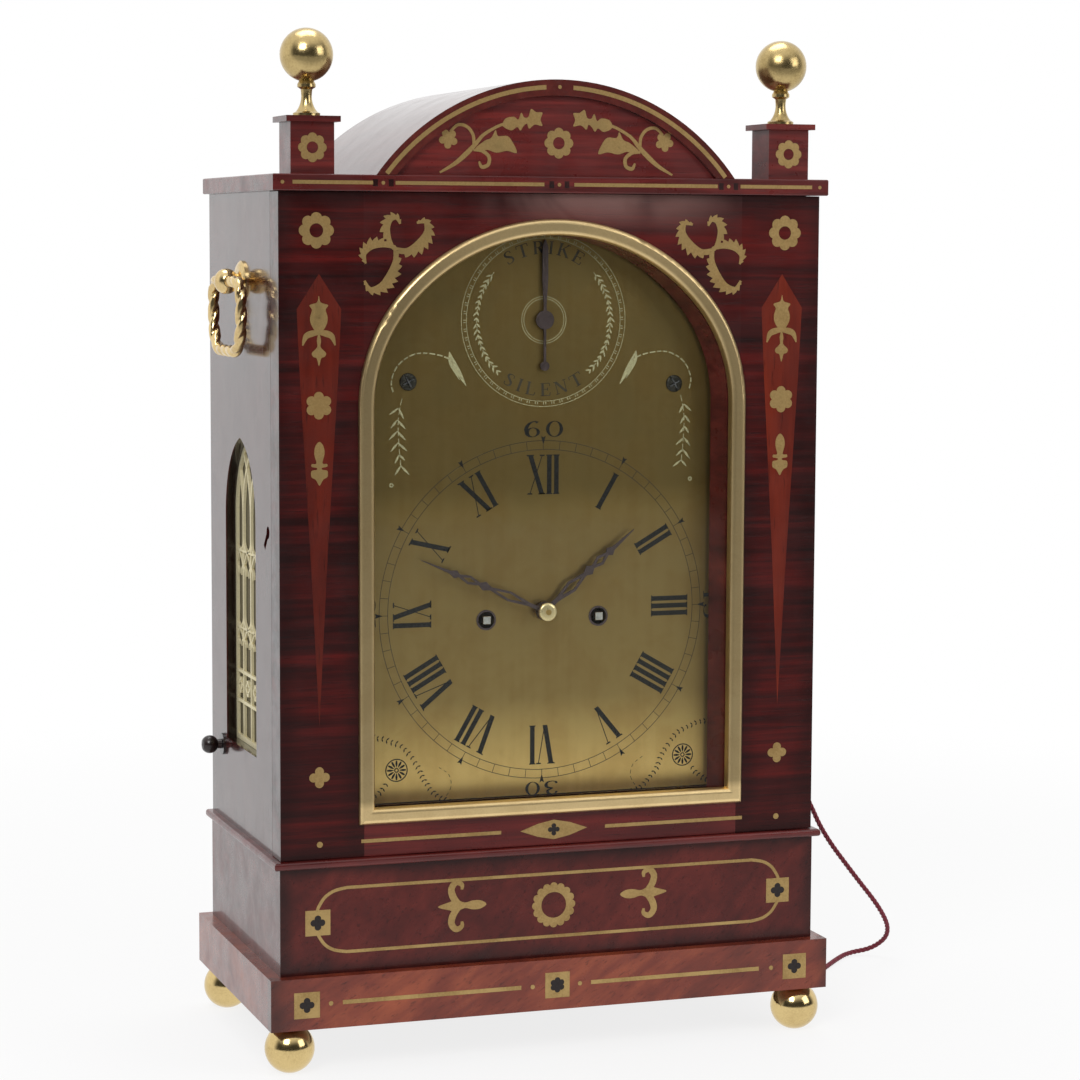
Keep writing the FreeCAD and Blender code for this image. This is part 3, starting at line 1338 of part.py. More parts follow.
def make_motion_work():
    """Minute wheel with its pinion on a stud, and the hour wheel with its pipe and snail."""
    level = hand_levels()
    x, z = 0, s.centre - s.motion_distance
    module, radius, _ = mesh_sizes(s.motion_distance, s.motion_teeth, s.motion_teeth)
    wheel_front = s.plate_front - 5
    minute = toothed((x, z), wheel_front, 3, s.motion_teeth, radius, 0.55 * module, WHEEL_DEPTH * module,
                     math.pi / 2, False)
    leaf_front = level["hour_wheel"] - 1
    leaves = pinion_at((x, z), (0, s.centre), leaf_front, wheel_front - leaf_front,
                       s.motion_distance, s.minute_pinion_leaves, s.hour_teeth)
    post = disc(x, z, s.pivot_radius, s.plate_front - 2, s.plate_inside - s.plate_front + 2)
    node(shaped("minute", joined([minute, leaves, post])), "minute_wheel")

    bore = 2.2 + s.running_gap
    hour = wheel_at((0, s.centre), (x, z), level["hour_wheel"], s.wheel_thickness, s.motion_distance,
                    s.hour_teeth, s.minute_pinion_leaves, bore)
    pipe_end = s.plate_front - 5.6
    hand_back = level["hour"] + s.hand_thickness
    pipe = disc(0, s.centre, 3.4, hand_back, pipe_end - hand_back, bore)
    steps = []
    for index in range(12):
        middle = math.radians(90 - s.hour_hand_degrees) + index * math.pi / 6
        rim = 15 - 0.7 * index
        for part in range(3):
            angle = middle + (part / 2 - 0.5) * math.pi / 6
            steps.append(Vector(rim * math.cos(angle), level["hour_wheel"] + s.wheel_thickness,
                                s.centre + rim * math.sin(angle)))
    snail = loop(steps).extrude(Vector(0, 1.5, 0)).cut(
        disc(0, s.centre, bore, level["hour_wheel"], 2 * s.wheel_thickness + 1))
    node(shaped("hour", joined([hour, pipe, snail])), "hour_wheel")


def make_drives():
    """Spring barrels and fusees of both trains, the striking fusee with its great wheel."""
    at = {name: place[:2] for name, place in arbor_places().items()}
    great_y = s.plate_far - 8.5
    barrel_y = s.plate_inside + 10.5
    for name in ("going_barrel", "striking_barrel"):
        x, z = at[name]
        drum = s.barrel_radius
        length = s.barrel_length
        outline = [
            [(0, 0)], [(drum + 1.2, 0)], [(drum + 1.2, 1.6)], [(drum, 1.6)], [(drum, length - 1.6)],
            [(drum + 1.2, length - 1.6)], [(drum + 1.2, length)], [(0, length)], [(0, 0)],
        ]
        barrel = turned(outline, Vector(x, barrel_y, z), Y)
        node(shaped(name + "_drum", joined([barrel] + arbor((x, z), s.pivot_radius, 3))), name)
    for name, label in (("going", "going_fusee"), ("striking", "striking_fusee")):
        x, z = at[name]
        end = great_y - s.end_shake
        start = end - s.fusee_length
        large = s.fusee_large_radius
        small = s.fusee_small_radius
        waist = 0.42 * large + 0.58 * small - 1.6
        outline = [
            [(0, 0)], [(small + 1.5, 0)], [(small + 1.5, 1.2)], [(small, 1.2)],
            [(waist, s.fusee_length * 0.5), (large, s.fusee_length - 2.4)],
            [(large + 1.5, s.fusee_length - 1.8)], [(large + 1.5, s.fusee_length)],
            [(0, s.fusee_length)], [(0, 0)],
        ]
        cone = turned(outline, Vector(x, start, z), Y)
        shoulder = s.winding_arbor_radius
        post = disc(x, z, shoulder, s.plate_front, s.plate_back - s.plate_front)
        side = s.winding_square / 2
        square = slab((x - side, s.dial_front - 1.5, z - side), (x + side, s.plate_front, z + side))
        parts = [cone, post, square]
        if name == "striking":
            wheel = wheel_at((x, z), at["pins"], great_y, s.great_thickness, s.strike_distance,
                             s.strike_great_teeth, s.pin_pinion_leaves)
            wheel = crossed_out(wheel, (x, z), great_y, s.great_thickness, 9, 24)
            parts += [wheel, disc(x, z, 6, end, 6)]
        node(shaped(label + "_body", joined(parts)), label)


def make_strike():
    """Pin wheel, hammer, bell and the bell's stand."""
    place = arbor_places()
    at = {name: spot[:2] for name, spot in place.items()}
    great_y = s.plate_far - 8.5
    x, z = at["pins"]
    wheel_y = s.plate_inside + 22
    module = s.pin_wheel_radius * 2 / s.pin_wheel_teeth
    wheel = toothed((x, z), wheel_y, s.wheel_thickness, s.pin_wheel_teeth, s.pin_wheel_radius,
                    WHEEL_RISE * module, WHEEL_DEPTH * module, 0, True)
    leaves = pinion_at((x, z), at["striking"], great_y - 2, s.great_thickness + 4, s.strike_distance,
                       s.pin_pinion_leaves, s.strike_great_teeth)
    pins = []
    for index in range(int(s.pin_count)):
        angle = index * 2 * math.pi / s.pin_count
        pin_x, pin_z = x + s.pin_circle * math.cos(angle), z + s.pin_circle * math.sin(angle)
        pins.append(disc(pin_x, pin_z, 0.8, wheel_y - 4, 4.5))
    node(shaped("pins", joined([wheel, leaves] + pins + arbor((x, z), s.pivot_radius))), "strike_pin_wheel")

    hx, hz = at["hammer"]
    bell_z = s.plate_top + s.bell_gap
    head_x = -s.bell_radius - 1
    tail_y = wheel_y - 3.5
    arm_y = bell_place()[1] - 1
    tail = loop([Vector(hx + dx, tail_y, hz + dz) for dx, dz in (
        (-1.5, 0), (1.5, 0), (5.5, 0.4 - s.hammer_tail), (4, -s.hammer_tail))])
    shank = loop([Vector(px, arm_y, pz) for px, pz in (
        (hx - 1.5, hz), (hx + 1.5, hz), (head_x - 3, bell_z + 2), (head_x - 6, bell_z + 2))])
    length = s.hammer_head_length
    head = Part.makeCylinder(4, length, Vector(head_x - length, arm_y + 1, bell_z + 4), X)
    parts = [tail.extrude(Vector(0, 2.5, 0)), shank.extrude(Vector(0, 2, 0)), head]
    node(shaped("hammer", joined(parts + arbor((hx, hz), s.pivot_radius))), "strike_hammer")

    cx, cy = bell_place()
    outer = s.bell_radius
    tall = s.bell_height
    wall = s.bell_wall
    stud = 2
    outline = [
        [(outer, 0)], [(outer * 0.86, tall * 0.62), (outer * 0.4, tall)], [(stud, tall)],
        [(stud, tall - wall)], [(outer * 0.4 - 0.4, tall - wall)],
        [(outer * 0.86 - wall, tall * 0.6), (outer - wall, 0)], [(outer, 0)],
    ]
    node(shaped("bell_cup", turned(outline, Vector(cx, cy, bell_z), Z)), "bell")
    top = bell_z + tall
    arm_x = s.bell_arm_spread
    foot = s.plate_top - s.bell_arm_foot
    over = top + s.bell_arm_rise
    upright = slab((arm_x - 4, s.plate_back, foot), (arm_x + 4, s.plate_back + 2.5, over))
    forward = slab((arm_x - 4, cy - 4, over - 3), (arm_x + 4, s.plate_back, over))
    across = slab((cx - 4, cy - 4, over - 3), (arm_x - 4, cy + 4, over))
    shoulder = Part.makeCylinder(4, 6, Vector(cx, cy, top), Z)
    bolt = Part.makeCylinder(stud - s.running_gap, wall + 5, Vector(cx, cy, top - wall - 5), Z)
    nut = Part.makeCylinder(4, 3, Vector(cx, cy, top - wall - 3), Z)
    node(shaped("stand", joined([upright, forward, across, shoulder, bolt, nut])), "bell_stand")


def bell_place():
    """Plan middle of the bell, whose rear edge stays in line with the back plate."""
    return 0, s.plate_far - s.bell_radius


# ---------------------------------------------------------------- hands


PIERCED_BLADE = (
    (0, 0.5), (0.14, 0.45), (0.3, 1.25), (0.45, 0.4), (0.5, 1.1), (0.54, 0.35), (0.62, 1.1), (0.7, 0.35),
    (0.73, 1), (0.77, 0.4), (1, 0.06),
)
PLAIN_BLADE = ((0, 0.5), (0.2, 0.45), (0.5, 1), (0.9, 1), (1, 0.2))


def hand(length, tail, level, width, profile, bore, place=(0, 0)):
    """A hand pointing up: collet and a blade whose half widths go with the share of its length."""
    x, z = place
    right = [(share * length, width * half) for share, half in profile]
    left = [(along, -half) for along, half in reversed(right)]
    blade = loop([Vector(x + across, level, z + along) for along, across in right + left])
    if profile is PIERCED_BLADE:
        for middle, reach, half in ((0.3, 0.11, 0.7), (0.62, 0.05, 0.55)):
            low, mid, high = (z + length * (middle + reach * step) for step in (-1, 0, 1))
            blade = blade.cut(loop([
                Vector(x, level, low), Vector(x + width * half, level, mid),
                Vector(x, level, high), Vector(x - width * half, level, mid),
            ]))
    thick = s.hand_thickness
    parts = [blade.extrude(Vector(0, thick, 0)), disc(x, z, s.collet_radius, level, thick)]
    if tail:
        half = width * 0.4
        parts.append(slab((x - half, level, z - tail + 3), (x + half, level + thick, z)))
        parts.append(disc(x, z - tail + 2.5, 2.5, level, thick))
    made = joined(parts)
    return made.cut(disc(x, z, bore, level - 1, thick + 2)) if bore else made


def make_hands():
    """Minute and hour hands at their angles clockwise from twelve, and the strike hand pointing up."""
    level = hand_levels()
    centre = Vector(0, 0, s.centre)
    middle = (0, s.centre)
    minute = hand(s.minute_hand_length, 0, level["minute"], 2.2, PIERCED_BLADE, s.arbor_radius, middle)
    collet = disc(0, s.centre, s.collet_radius - 1, level["minute"] - 2.5, 2.5, s.arbor_radius)
    minute = joined([minute, collet])
    minute.rotate(centre, Y, s.minute_hand_degrees)
    node(shaped("minute_hand_blade", minute), "minute_hand")
    hour = hand(s.hour_hand_length, 0, level["hour"], 2.6, PIERCED_BLADE, 2.2 + s.running_gap, middle)
    hour.rotate(centre, Y, s.hour_hand_degrees)
    node(shaped("hour_hand_blade", hour), "hour_hand")
    place = (0, s.centre + s.strike_dial_rise)
    strike = hand(s.strike_hand_length, s.strike_hand_tail, level["strike"], 1.6, PLAIN_BLADE, 0, place)
    post = disc(*place, s.arbor_radius, level["strike"], s.dial_back + 4 - level["strike"])
    lever = slab((place[0] - 2, s.dial_back + 0.3, place[1] - 16),
                 (place[0] + 2, s.dial_back + 1.8, place[1]))
    node(shaped("strike_pointer", joined([strike, post, lever])), "strike_silent_hand")


def check_and_export():
    """Stops on a failed or empty object, then writes each sub-part's file."""
    doc.recompute()
    for item in doc.Objects:
        if "Invalid" in item.State or "Error" in item.State:
            raise RuntimeError(f"{item.Name} failed: {item.State}")
    os.makedirs("parts", exist_ok=True)
    for piece in NODES:
        if piece.Shape.isNull() or not piece.Shape.isValid() or not piece.Shape.Solids:
            raise RuntimeError(f"{piece.Label} has no valid shape")
    for piece in NODES:
        piece.Shape.exportStep(f"parts/{piece.Label}.step")
    print(len(NODES), "sub-parts")


make_base()
make_sides()
make_frets()
make_top()
make_front_door()
make_back_door()
make_hinges()
make_lock()
make_handles()
make_pull_repeat()
make_dial()
make_plates()
make_back_cock()
make_going_train()
make_pendulum()
make_motion_work()
make_drives()
make_strike()
make_hands()
check_and_export()
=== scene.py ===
import math
import random

import bmesh
import bpy
from mathutils import Matrix, Vector
from mathutils.geometry import tessellate_polygon


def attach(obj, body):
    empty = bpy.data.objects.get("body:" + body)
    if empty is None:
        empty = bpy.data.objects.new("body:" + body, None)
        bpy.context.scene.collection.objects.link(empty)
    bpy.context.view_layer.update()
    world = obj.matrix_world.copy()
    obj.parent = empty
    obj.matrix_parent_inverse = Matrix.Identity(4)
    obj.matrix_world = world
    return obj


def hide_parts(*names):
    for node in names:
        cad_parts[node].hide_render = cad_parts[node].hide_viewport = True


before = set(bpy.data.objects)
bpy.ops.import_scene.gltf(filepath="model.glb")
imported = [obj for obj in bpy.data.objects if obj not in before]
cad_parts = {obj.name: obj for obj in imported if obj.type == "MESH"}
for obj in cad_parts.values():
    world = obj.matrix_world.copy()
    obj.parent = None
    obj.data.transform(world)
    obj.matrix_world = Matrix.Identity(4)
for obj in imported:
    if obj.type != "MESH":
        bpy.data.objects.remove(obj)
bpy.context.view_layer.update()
MM = 0.001
random.seed(7)

# Planes and places of the case, in millimetres.
DOOR, BASE, PLINTH, CORNICE, GABLE, PEDESTAL, DIAL = -77.0, -77.5, -84.2, -80.6, -77.6, -76.5, -57.0
CENTRE = 237.0
STRIKE = CENTRE + 155.4
WINDING_X, WINDING_Z = 31.8, 232.8
DIAL_SCREWS = ((-75.3, 360.3), (74.6, 357.8))


# ---------------------------------------------------------------- camera, floor and light

camera = bpy.data.objects.new("camera", bpy.data.cameras.new("camera"))
bpy.context.collection.objects.link(camera)
camera.data.sensor_width = 36
camera.data.lens = 3008.93 / 1080 * 36
YAW, PITCH, ROLL = 0.3337, 0.0996, 0.0047
look = Vector((math.sin(YAW) * math.cos(PITCH), math.cos(YAW) * math.cos(PITCH), -math.sin(PITCH)))
camera.rotation_mode = "QUATERNION"
camera.rotation_quaternion = look.to_track_quat("-Z", "Y") @ Matrix.Rotation(ROLL, 3, "Z").to_quaternion()
camera.location = (-0.5265, -1.5711, 0.4350)
bpy.context.scene.camera = camera
bpy.context.scene.view_settings.view_transform = "Standard"


class Shader:
    """The node tree of a new material, or of the world that is given."""

    def __init__(self, name, world=None):
        self.material = bpy.data.materials.new(name) if world is None else world
        self.material.use_nodes = True
        self.tree = self.material.node_tree
        self.tree.nodes.clear()
        self.output = self.add("ShaderNodeOutputMaterial" if world is None else "ShaderNodeOutputWorld")
        self.coords = self.add("ShaderNodeTexCoord").outputs["Object"]

    def add(self, kind, settings=None, **inputs):
        node = self.tree.nodes.new(kind)
        for key, value in (settings or {}).items():
            setattr(node, key, value)
        for key, value in inputs.items():
            self.put(node, key.replace("_", " "), value)
        return node

    def put(self, node, key, value):
        if isinstance(value, bpy.types.NodeSocket):
            self.tree.links.new(value, node.inputs[key])
        else:
            node.inputs[key].default_value = value

    def stretched(self, scale, turn=(0, 0, 0)):
        """The object's coordinates, turned and then scaled."""
        turned = self.add("ShaderNodeMapping", Vector=self.coords, Rotation=turn).outputs[0]
        return self.add("ShaderNodeMapping", Vector=turned, Scale=scale).outputs[0]

    def noise(self, vector, scale=1.0, detail=4.0, rough=0.55, twist=0.0):
        node = self.add("ShaderNodeTexNoise", Vector=vector, Scale=scale, Detail=detail,
                        Roughness=rough, Distortion=twist)
        return node.outputs[0]

    def ramp(self, factor, stops):
        node = self.add("ShaderNodeValToRGB", Fac=factor)
        points = node.color_ramp.elements
        while len(points) < len(stops):
            points.new(0.5)
        for point, (at, color) in zip(points, stops):
            point.position = at
            point.color = (*color, 1) if len(color) == 3 else color
        return node.outputs[0]

    def math(self, kind, a, b=0.0):
        node = self.add("ShaderNodeMath", {"operation": kind})
        self.put(node, 0, a)
        self.put(node, 1, b)
        return node.outputs[0]

    def times(self, a, b):
        return self.math("MULTIPLY", a, b)

    def plus(self, a, b):
        return self.math("ADD", a, b)

    def minus(self, a, b):
        return self.math("SUBTRACT", a, b)

    def size(self, a):
        return self.math("ABSOLUTE", a)

    def mix(self, factor, a, b, kind="MIX"):
        node = self.add("ShaderNodeMix", {"data_type": "RGBA", "blend_type": kind})
        for index, value in ((0, factor), (6, a), (7, b)):
            self.put(node, index, (*value, 1) if isinstance(value, tuple) and len(value) == 3 else value)
        return node.outputs[2]

    def span(self, value, low, high, start=0.0, end=1.0):
        """The value mapped from one range to another, smoothly and clamped."""
        node = self.add("ShaderNodeMapRange", {"interpolation_type": "SMOOTHSTEP"}, Value=value,
                        From_Min=low, From_Max=high, To_Min=start, To_Max=end)
        return node.outputs[0]

    def bump(self, height, depth):
        return self.add("ShaderNodeBump", Height=height, Distance=depth, Strength=1.0).outputs[0]

    def axes(self):
        return self.add("ShaderNodeSeparateXYZ", Vector=self.coords).outputs

    def blend(self, factor, first, second):
        """One shader mixed with another."""
        node = self.add("ShaderNodeMixShader")
        for index, value in enumerate((factor, first.outputs[0], second.outputs[0])):
            self.put(node, index, value)
        return node

    def finished(self, shader):
        self.tree.links.new(shader.outputs[0], self.output.inputs["Surface"])
        return self.material

    def surface(self, **inputs):
        return self.finished(self.add("ShaderNodeBsdfPrincipled", **inputs))


def grey(level):
    return (level, level, level)


def rgb(red, green, blue):
    """A colour as eyes see it, from 0 to 255, as Blender's linear numbers."""
    def linear(value):
        value /= 255
        return value / 12.92 if value <= 0.04045 else ((value + 0.055) / 1.055) ** 2.4
    return (linear(red), linear(green), linear(blue))


PATCHES = 18.0
# Colours of painted shade along panel edges, painted shade in the cut edges of openings, and a painted
# reflection.
EDGE_SHADE, REVEAL_SHADE, REFLECTION_TINT = rgb(12, 4, 4), rgb(10, 5, 4), rgb(128, 96, 90)


def wood(name, dark, middle, light, grain, turn=(0, 0, 0), panel=None, gloss=0.3, coat=0.4, contrast=1.0,
         shine=0.35, fade=None, reveal=None, flank=None, painted_reflection=False):
    """Polished veneer: streaks along the grain, broad patches, pores, and painted shade round a panel's edges.

    panel is its inner and outer X, its bottom and top, how far the painted shade reaches and how dark it is;
    fade is the stretch of heights over which the inner edge's painted shade dies away. reveal is the X of a
    face, with the middle and half width in Y of an opening whose cut edges get painted shade. flank is the
    polish of faces turned to the sides; painted_reflection paints a pale reflection over the arch's middle.
    """
    make = Shader(name)
    fine, coarse = (tuple(value * share for value in grain) for share in (7, 0.22))
    streaks = make.noise(make.stretched(grain, turn), 1.0, 7, 0.62, 0.35)
    bands = make.noise(make.stretched(coarse, turn), 1.0, 3, 0.5, 0.6)
    clouds = make.noise(make.coords, PATCHES, 3, 0.5, 0.8)
    value = make.plus(make.plus(make.times(streaks, 0.45), make.times(bands, 0.35)), make.times(clouds, 0.20))
    spread = 0.10 / contrast
    color = make.ramp(value, [(0.5 - spread * 1.3, dark), (0.5, middle), (0.5 + spread * 1.4, light)])
    pored = make.span(make.noise(make.stretched(fine, turn), 1.0, 2, 0.5), 0.60, 0.74)
    color = make.mix(make.times(pored, 0.45), color, tuple(v * 0.35 for v in dark))
    x, y, z = make.axes()
    # Painted shade: the panel's edges are darkened towards near black, as if in shade.
    if panel:
        inner, outer, bottom, top, reach, darkness = panel
        wander = make.times(make.minus(clouds, 0.5), 0.010)
        nearest = None
        out = make.size(x)
        for axis, edge, sign in ((out, inner, 1), (out, outer, -1), (z, bottom, 1), (z, top, -1)):
            if edge is None:
                continue
            gap = make.times(make.minus(axis, edge * MM), sign)
            if fade and edge == inner:
                gap = make.plus(gap, make.span(z, fade[0] * MM, fade[1] * MM, 0.0, 0.05))
            gap = make.plus(gap, wander)
            nearest = gap if nearest is None else make.math("MINIMUM", nearest, gap)
        edge_shade = make.span(nearest, 0.0, reach * MM, darkness, 0.0)
        front = make.span(y, BASE * MM, (BASE + 1.0) * MM, 1.0, 0.0)
        color = make.mix(make.times(edge_shade, front), color, EDGE_SHADE)
    # Painted shade: the cut edges inside an opening are darkened as if in shade.
    if reveal:
        face, opening, half = reveal
        depth = make.minus(face * MM, make.size(x))
        beside = make.size(make.minus(y, opening * MM))
        within = make.span(beside, half * MM, (half + 1) * MM, 0.92, 0.0)
        color = make.mix(make.times(make.span(depth, 0.0002, 0.0012), within), color, REVEAL_SHADE)
    # Painted reflection: a pale glare laid into the colour over the middle of the arch.
    if painted_reflection:
        across = make.size(make.minus(x, 0.03))
        share = make.times(make.span(across, 0.02, 0.085, 0.6, 0.0), make.span(z, 0.436, 0.456))
        color = make.mix(make.times(share, make.span(clouds, 0.3, 0.6)), color, REFLECTION_TINT)
    if flank is not None:
        normal = make.add("ShaderNodeTexCoord").outputs["Normal"]
        sideways = make.size(make.add("ShaderNodeSeparateXYZ", Vector=normal).outputs[0])
        coat = make.span(sideways, 0.5, 0.8, coat, flank)
    wear = make.noise(make.coords, 55, 5, 0.6)
    height = make.plus(make.times(pored, -0.35), make.times(streaks, 0.12))
    return make.surface(Base_Color=color, Roughness=make.span(wear, 0.3, 0.75, gloss * 0.8, gloss * 1.35),
                        Normal=make.bump(height, 0.00012), Coat_Weight=coat, Coat_Roughness=0.08,
                        Specular_IOR_Level=shine)


def brass(name, color, dull, rough=0.25, brushed=(900, 900, 900), age=0.5, metal=1.0, depth=0.00004,
          height_shading=None, spotted=0.5):
    """Brass with tarnish in clouds and fine scratches; height_shading lists heights with the share of colour
    kept, which paints light and shade by height.
    """
    make = Shader(name)
    clouds = make.noise(make.coords, 45, 5, 0.6, 0.4)
    fine = make.noise(make.stretched(brushed), 1.0, 3, 0.5)
    tone = make.plus(make.times(clouds, 0.7), make.times(fine, 0.3))
    shade = make.mix(make.times(make.span(tone, 0.38, 0.66), age), color, dull)
    spots = make.span(make.noise(make.coords, 260, 3, 0.5), 0.66, 0.76)
    shade = make.mix(make.times(spots, spotted * age), shade, tuple(v * 0.35 for v in dull))
    # Painted light and shade: the colour is scaled up and down by height.
    if height_shading:
        low, high = height_shading[0][0], height_shading[-1][0]
        place = make.add("ShaderNodeMapRange", Value=make.axes()[2], From_Min=low * MM, From_Max=high * MM)
        steps = [((at - low) / (high - low), grey(kept)) for at, kept in height_shading]
        shade = make.mix(1.0, shade, make.ramp(place.outputs[0], steps), "MULTIPLY")
    if depth:
        return make.surface(Base_Color=shade, Metallic=metal, Normal=make.bump(fine, depth),
                            Roughness=make.span(tone, 0.3, 0.7, rough * 0.75, rough * 1.5))
    return make.surface(Base_Color=shade, Metallic=metal,
                        Roughness=make.span(clouds, 0.3, 0.7, rough, rough * 1.2))


def plain(name, color, rough, metal=0.0, depth=0.00005, scale=700.0, vary=0.35):
    """A dull or steely surface with a little grain in its colour and relief."""
    make = Shader(name)
    grain = make.noise(make.coords, scale, 4, 0.6)
    shade = make.mix(grain, tuple(v * (1 - vary) for v in color), tuple(v * (1 + vary) for v in color))
    roughness = make.span(grain, 0.3, 0.7, rough * 0.8, min(1.0, rough * 1.25))
    return make.surface(Base_Color=shade, Metallic=metal, Roughness=roughness, Normal=make.bump(grain, depth))


GRAIN_X, GRAIN_Z = (9, 90, 230), (210, 210, 12)
RED = (rgb(27, 5, 5), rgb(55, 9, 8), rgb(84, 15, 12))
# Door, head, base and plinth carry painted shade along the panel edges given to them.
door_wood = wood("door_mahogany", *RED, GRAIN_X, panel=(109, 150, 113, 459, 12, 0.8), fade=(300, 345),
                 coat=0.05, gloss=0.36, shine=0.2, flank=0.7)
head_wood = wood("head_mahogany", *RED, GRAIN_X, panel=(None, None, None, 459, 9, 0.5), coat=0.1, gloss=0.36,
                 shine=0.25, contrast=0.85, flank=0.7, painted_reflection=True)
rail_wood = wood("rail_mahogany", rgb(48, 9, 9), rgb(80, 18, 16), rgb(108, 30, 25), GRAIN_X, coat=0.15,
                 shine=0.3, flank=0.7)
base_wood = wood("base_mahogany", rgb(48, 14, 13), rgb(78, 24, 20), rgb(106, 38, 30), (60, 60, 110),
                 turn=(0, 0.8, 0), panel=(None, 150.5, 52.3, 109, 10, 0.6), coat=0.15, contrast=0.7,
                 shine=0.25, flank=0.5)
plinth_wood = wood("plinth_mahogany", rgb(70, 26, 20), rgb(112, 46, 31), rgb(150, 74, 46), (30, 60, 120),
                   turn=(0, 0.55, 0), panel=(None, 157.2, None, None, 9, 0.5), coat=0.3, contrast=0.8,
                   flank=0.5)
# The side panels get painted shade on the cut edges of their fret openings.
side_wood = wood("side_mahogany", rgb(40, 12, 10), rgb(60, 18, 15), rgb(80, 27, 22), GRAIN_Z,
                 coat=0.42, gloss=0.16, contrast=0.6, reveal=(150, 8.65, 36))
top_wood = wood("top_mahogany", rgb(50, 13, 13), rgb(84, 24, 22), rgb(112, 36, 32), GRAIN_X, coat=0.4)
roof_wood = wood("roof_mahogany", rgb(52, 20, 18), rgb(76, 30, 26), rgb(98, 42, 36), (200, 10, 200),
                 coat=0.48, gloss=0.16, contrast=0.6)
spear_wood = wood("spear_veneer", rgb(60, 13, 7), rgb(88, 24, 11), rgb(118, 38, 17), (90, 90, 9),
                  coat=0.1, gloss=0.36, contrast=0.7, shine=0.2)
dark_wood = wood("stained_mahogany", rgb(24, 8, 8), rgb(36, 12, 11), rgb(52, 18, 16), GRAIN_X, coat=0.3)
core_wood = plain("stained_core", rgb(24, 12, 11), 0.6)
bead_wood = wood("bead_mahogany", rgb(48, 17, 15), rgb(74, 28, 25), rgb(98, 42, 36), GRAIN_X, coat=0.1,
                 shine=0.2)
back_wood = wood("back_mahogany", rgb(50, 20, 16), rgb(82, 36, 28), rgb(110, 54, 40), GRAIN_Z, coat=0.15,
                 gloss=0.42)
oak = wood("oak", rgb(70, 46, 28), rgb(104, 74, 48), rgb(134, 100, 68), (9, 90, 160), coat=0.0, gloss=0.6)
knob_wood = wood("ebonised_wood", rgb(16, 9, 8), rgb(28, 15, 13), rgb(44, 24, 20), GRAIN_Z, coat=0.4)
inlay_brass = brass("inlay_brass", rgb(188, 158, 104), rgb(140, 112, 68), 0.4, age=0.6, metal=0.85)
fret_brass = brass("fret_brass", rgb(232, 222, 184), rgb(190, 178, 138), 0.45, age=0.5, metal=0.5)
gilt_brass = brass("gilt_brass", rgb(228, 202, 148), rgb(170, 138, 88), 0.17, age=0.45)
# Painted light and shade: the bezel is kept bright at its bottom and top and darkened along its sides.
bezel_brass = brass("bezel_brass", rgb(240, 212, 156), rgb(196, 166, 112), 0.28, age=0.35, metal=0.9, depth=0,
                    spotted=0.1,
                    height_shading=((130, 1.0), (139, 1.0), (143, 0.55), (400, 0.6), (436, 0.95), (456, 0.95)))
finial_brass = brass("finial_brass", rgb(204, 180, 126), rgb(146, 124, 78), 0.22, age=0.6, spotted=0.2)
ball_brass = brass("ball_brass", rgb(224, 198, 140), rgb(168, 140, 88), 0.13, age=0.35, depth=0.00001)
# Painted light and shade: the dial is bright at its bottom and darkened over its upper part, where the arch
# shades it.
dial_brass = brass("dial_brass", rgb(250, 214, 136), rgb(220, 178, 104), 0.3, (160, 160, 9), 0.55, metal=0.9,
                   depth=0, spotted=0.0, height_shading=((132, 1.0), (152, 0.9), (190, 0.44), (290, 0.42), (304, 0.31),
                                                (380, 0.34), (450, 0.38)))
bright_brass = brass("collet_brass", rgb(232, 214, 164), rgb(190, 168, 116), 0.3, age=0.4, metal=0.8)
work_brass = brass("movement_brass", rgb(214, 180, 108), rgb(164, 132, 74), 0.28, age=0.4, spotted=0.15)
bell_metal = brass("bell_metal", rgb(206, 186, 140), rgb(150, 128, 88), 0.22, (20, 20, 2500), age=0.4)
steel = plain("steel", rgb(150, 150, 152), 0.3, 1.0)
blued = plain("blued_steel", rgb(92, 80, 80), 0.36, 0.75)
steel_dark = plain("dull_steel", rgb(58, 56, 50), 0.45, 0.7)
bright_steel = plain("bright_steel", rgb(168, 168, 162), 0.35, 0.4, vary=0.35)
wax = plain("engraving_wax", rgb(14, 13, 11), 0.8, vary=0.4)
faint_wax = plain("faint_engraving", rgb(52, 44, 28), 0.6, vary=0.4)
worn = plain("worn_engraving", rgb(166, 160, 122), 0.5, 0.2, vary=0.5)
silk = plain("silk", rgb(92, 84, 60), 0.8)
cord_silk = plain("cord_silk", rgb(112, 16, 38), 0.55, scale=2400, depth=0.0001)
GLASS_SHINE = 0.012


def clear_glass():
    """Clear, with the same faint mirror seen from any side."""
    make = Shader("clear_glass")
    rough = make.span(make.noise(make.coords, 30, 4, 0.6), 0.3, 0.8, 0.02, 0.09)
    gloss = make.add("ShaderNodeBsdfPrincipled", Base_Color=(1, 1, 1, 1), Metallic=1.0, Roughness=rough)
    clear = make.add("ShaderNodeBsdfTransparent", Color=(0.97, 0.98, 0.97, 1))
    return make.finished(make.blend(GLASS_SHINE, clear, gloss))


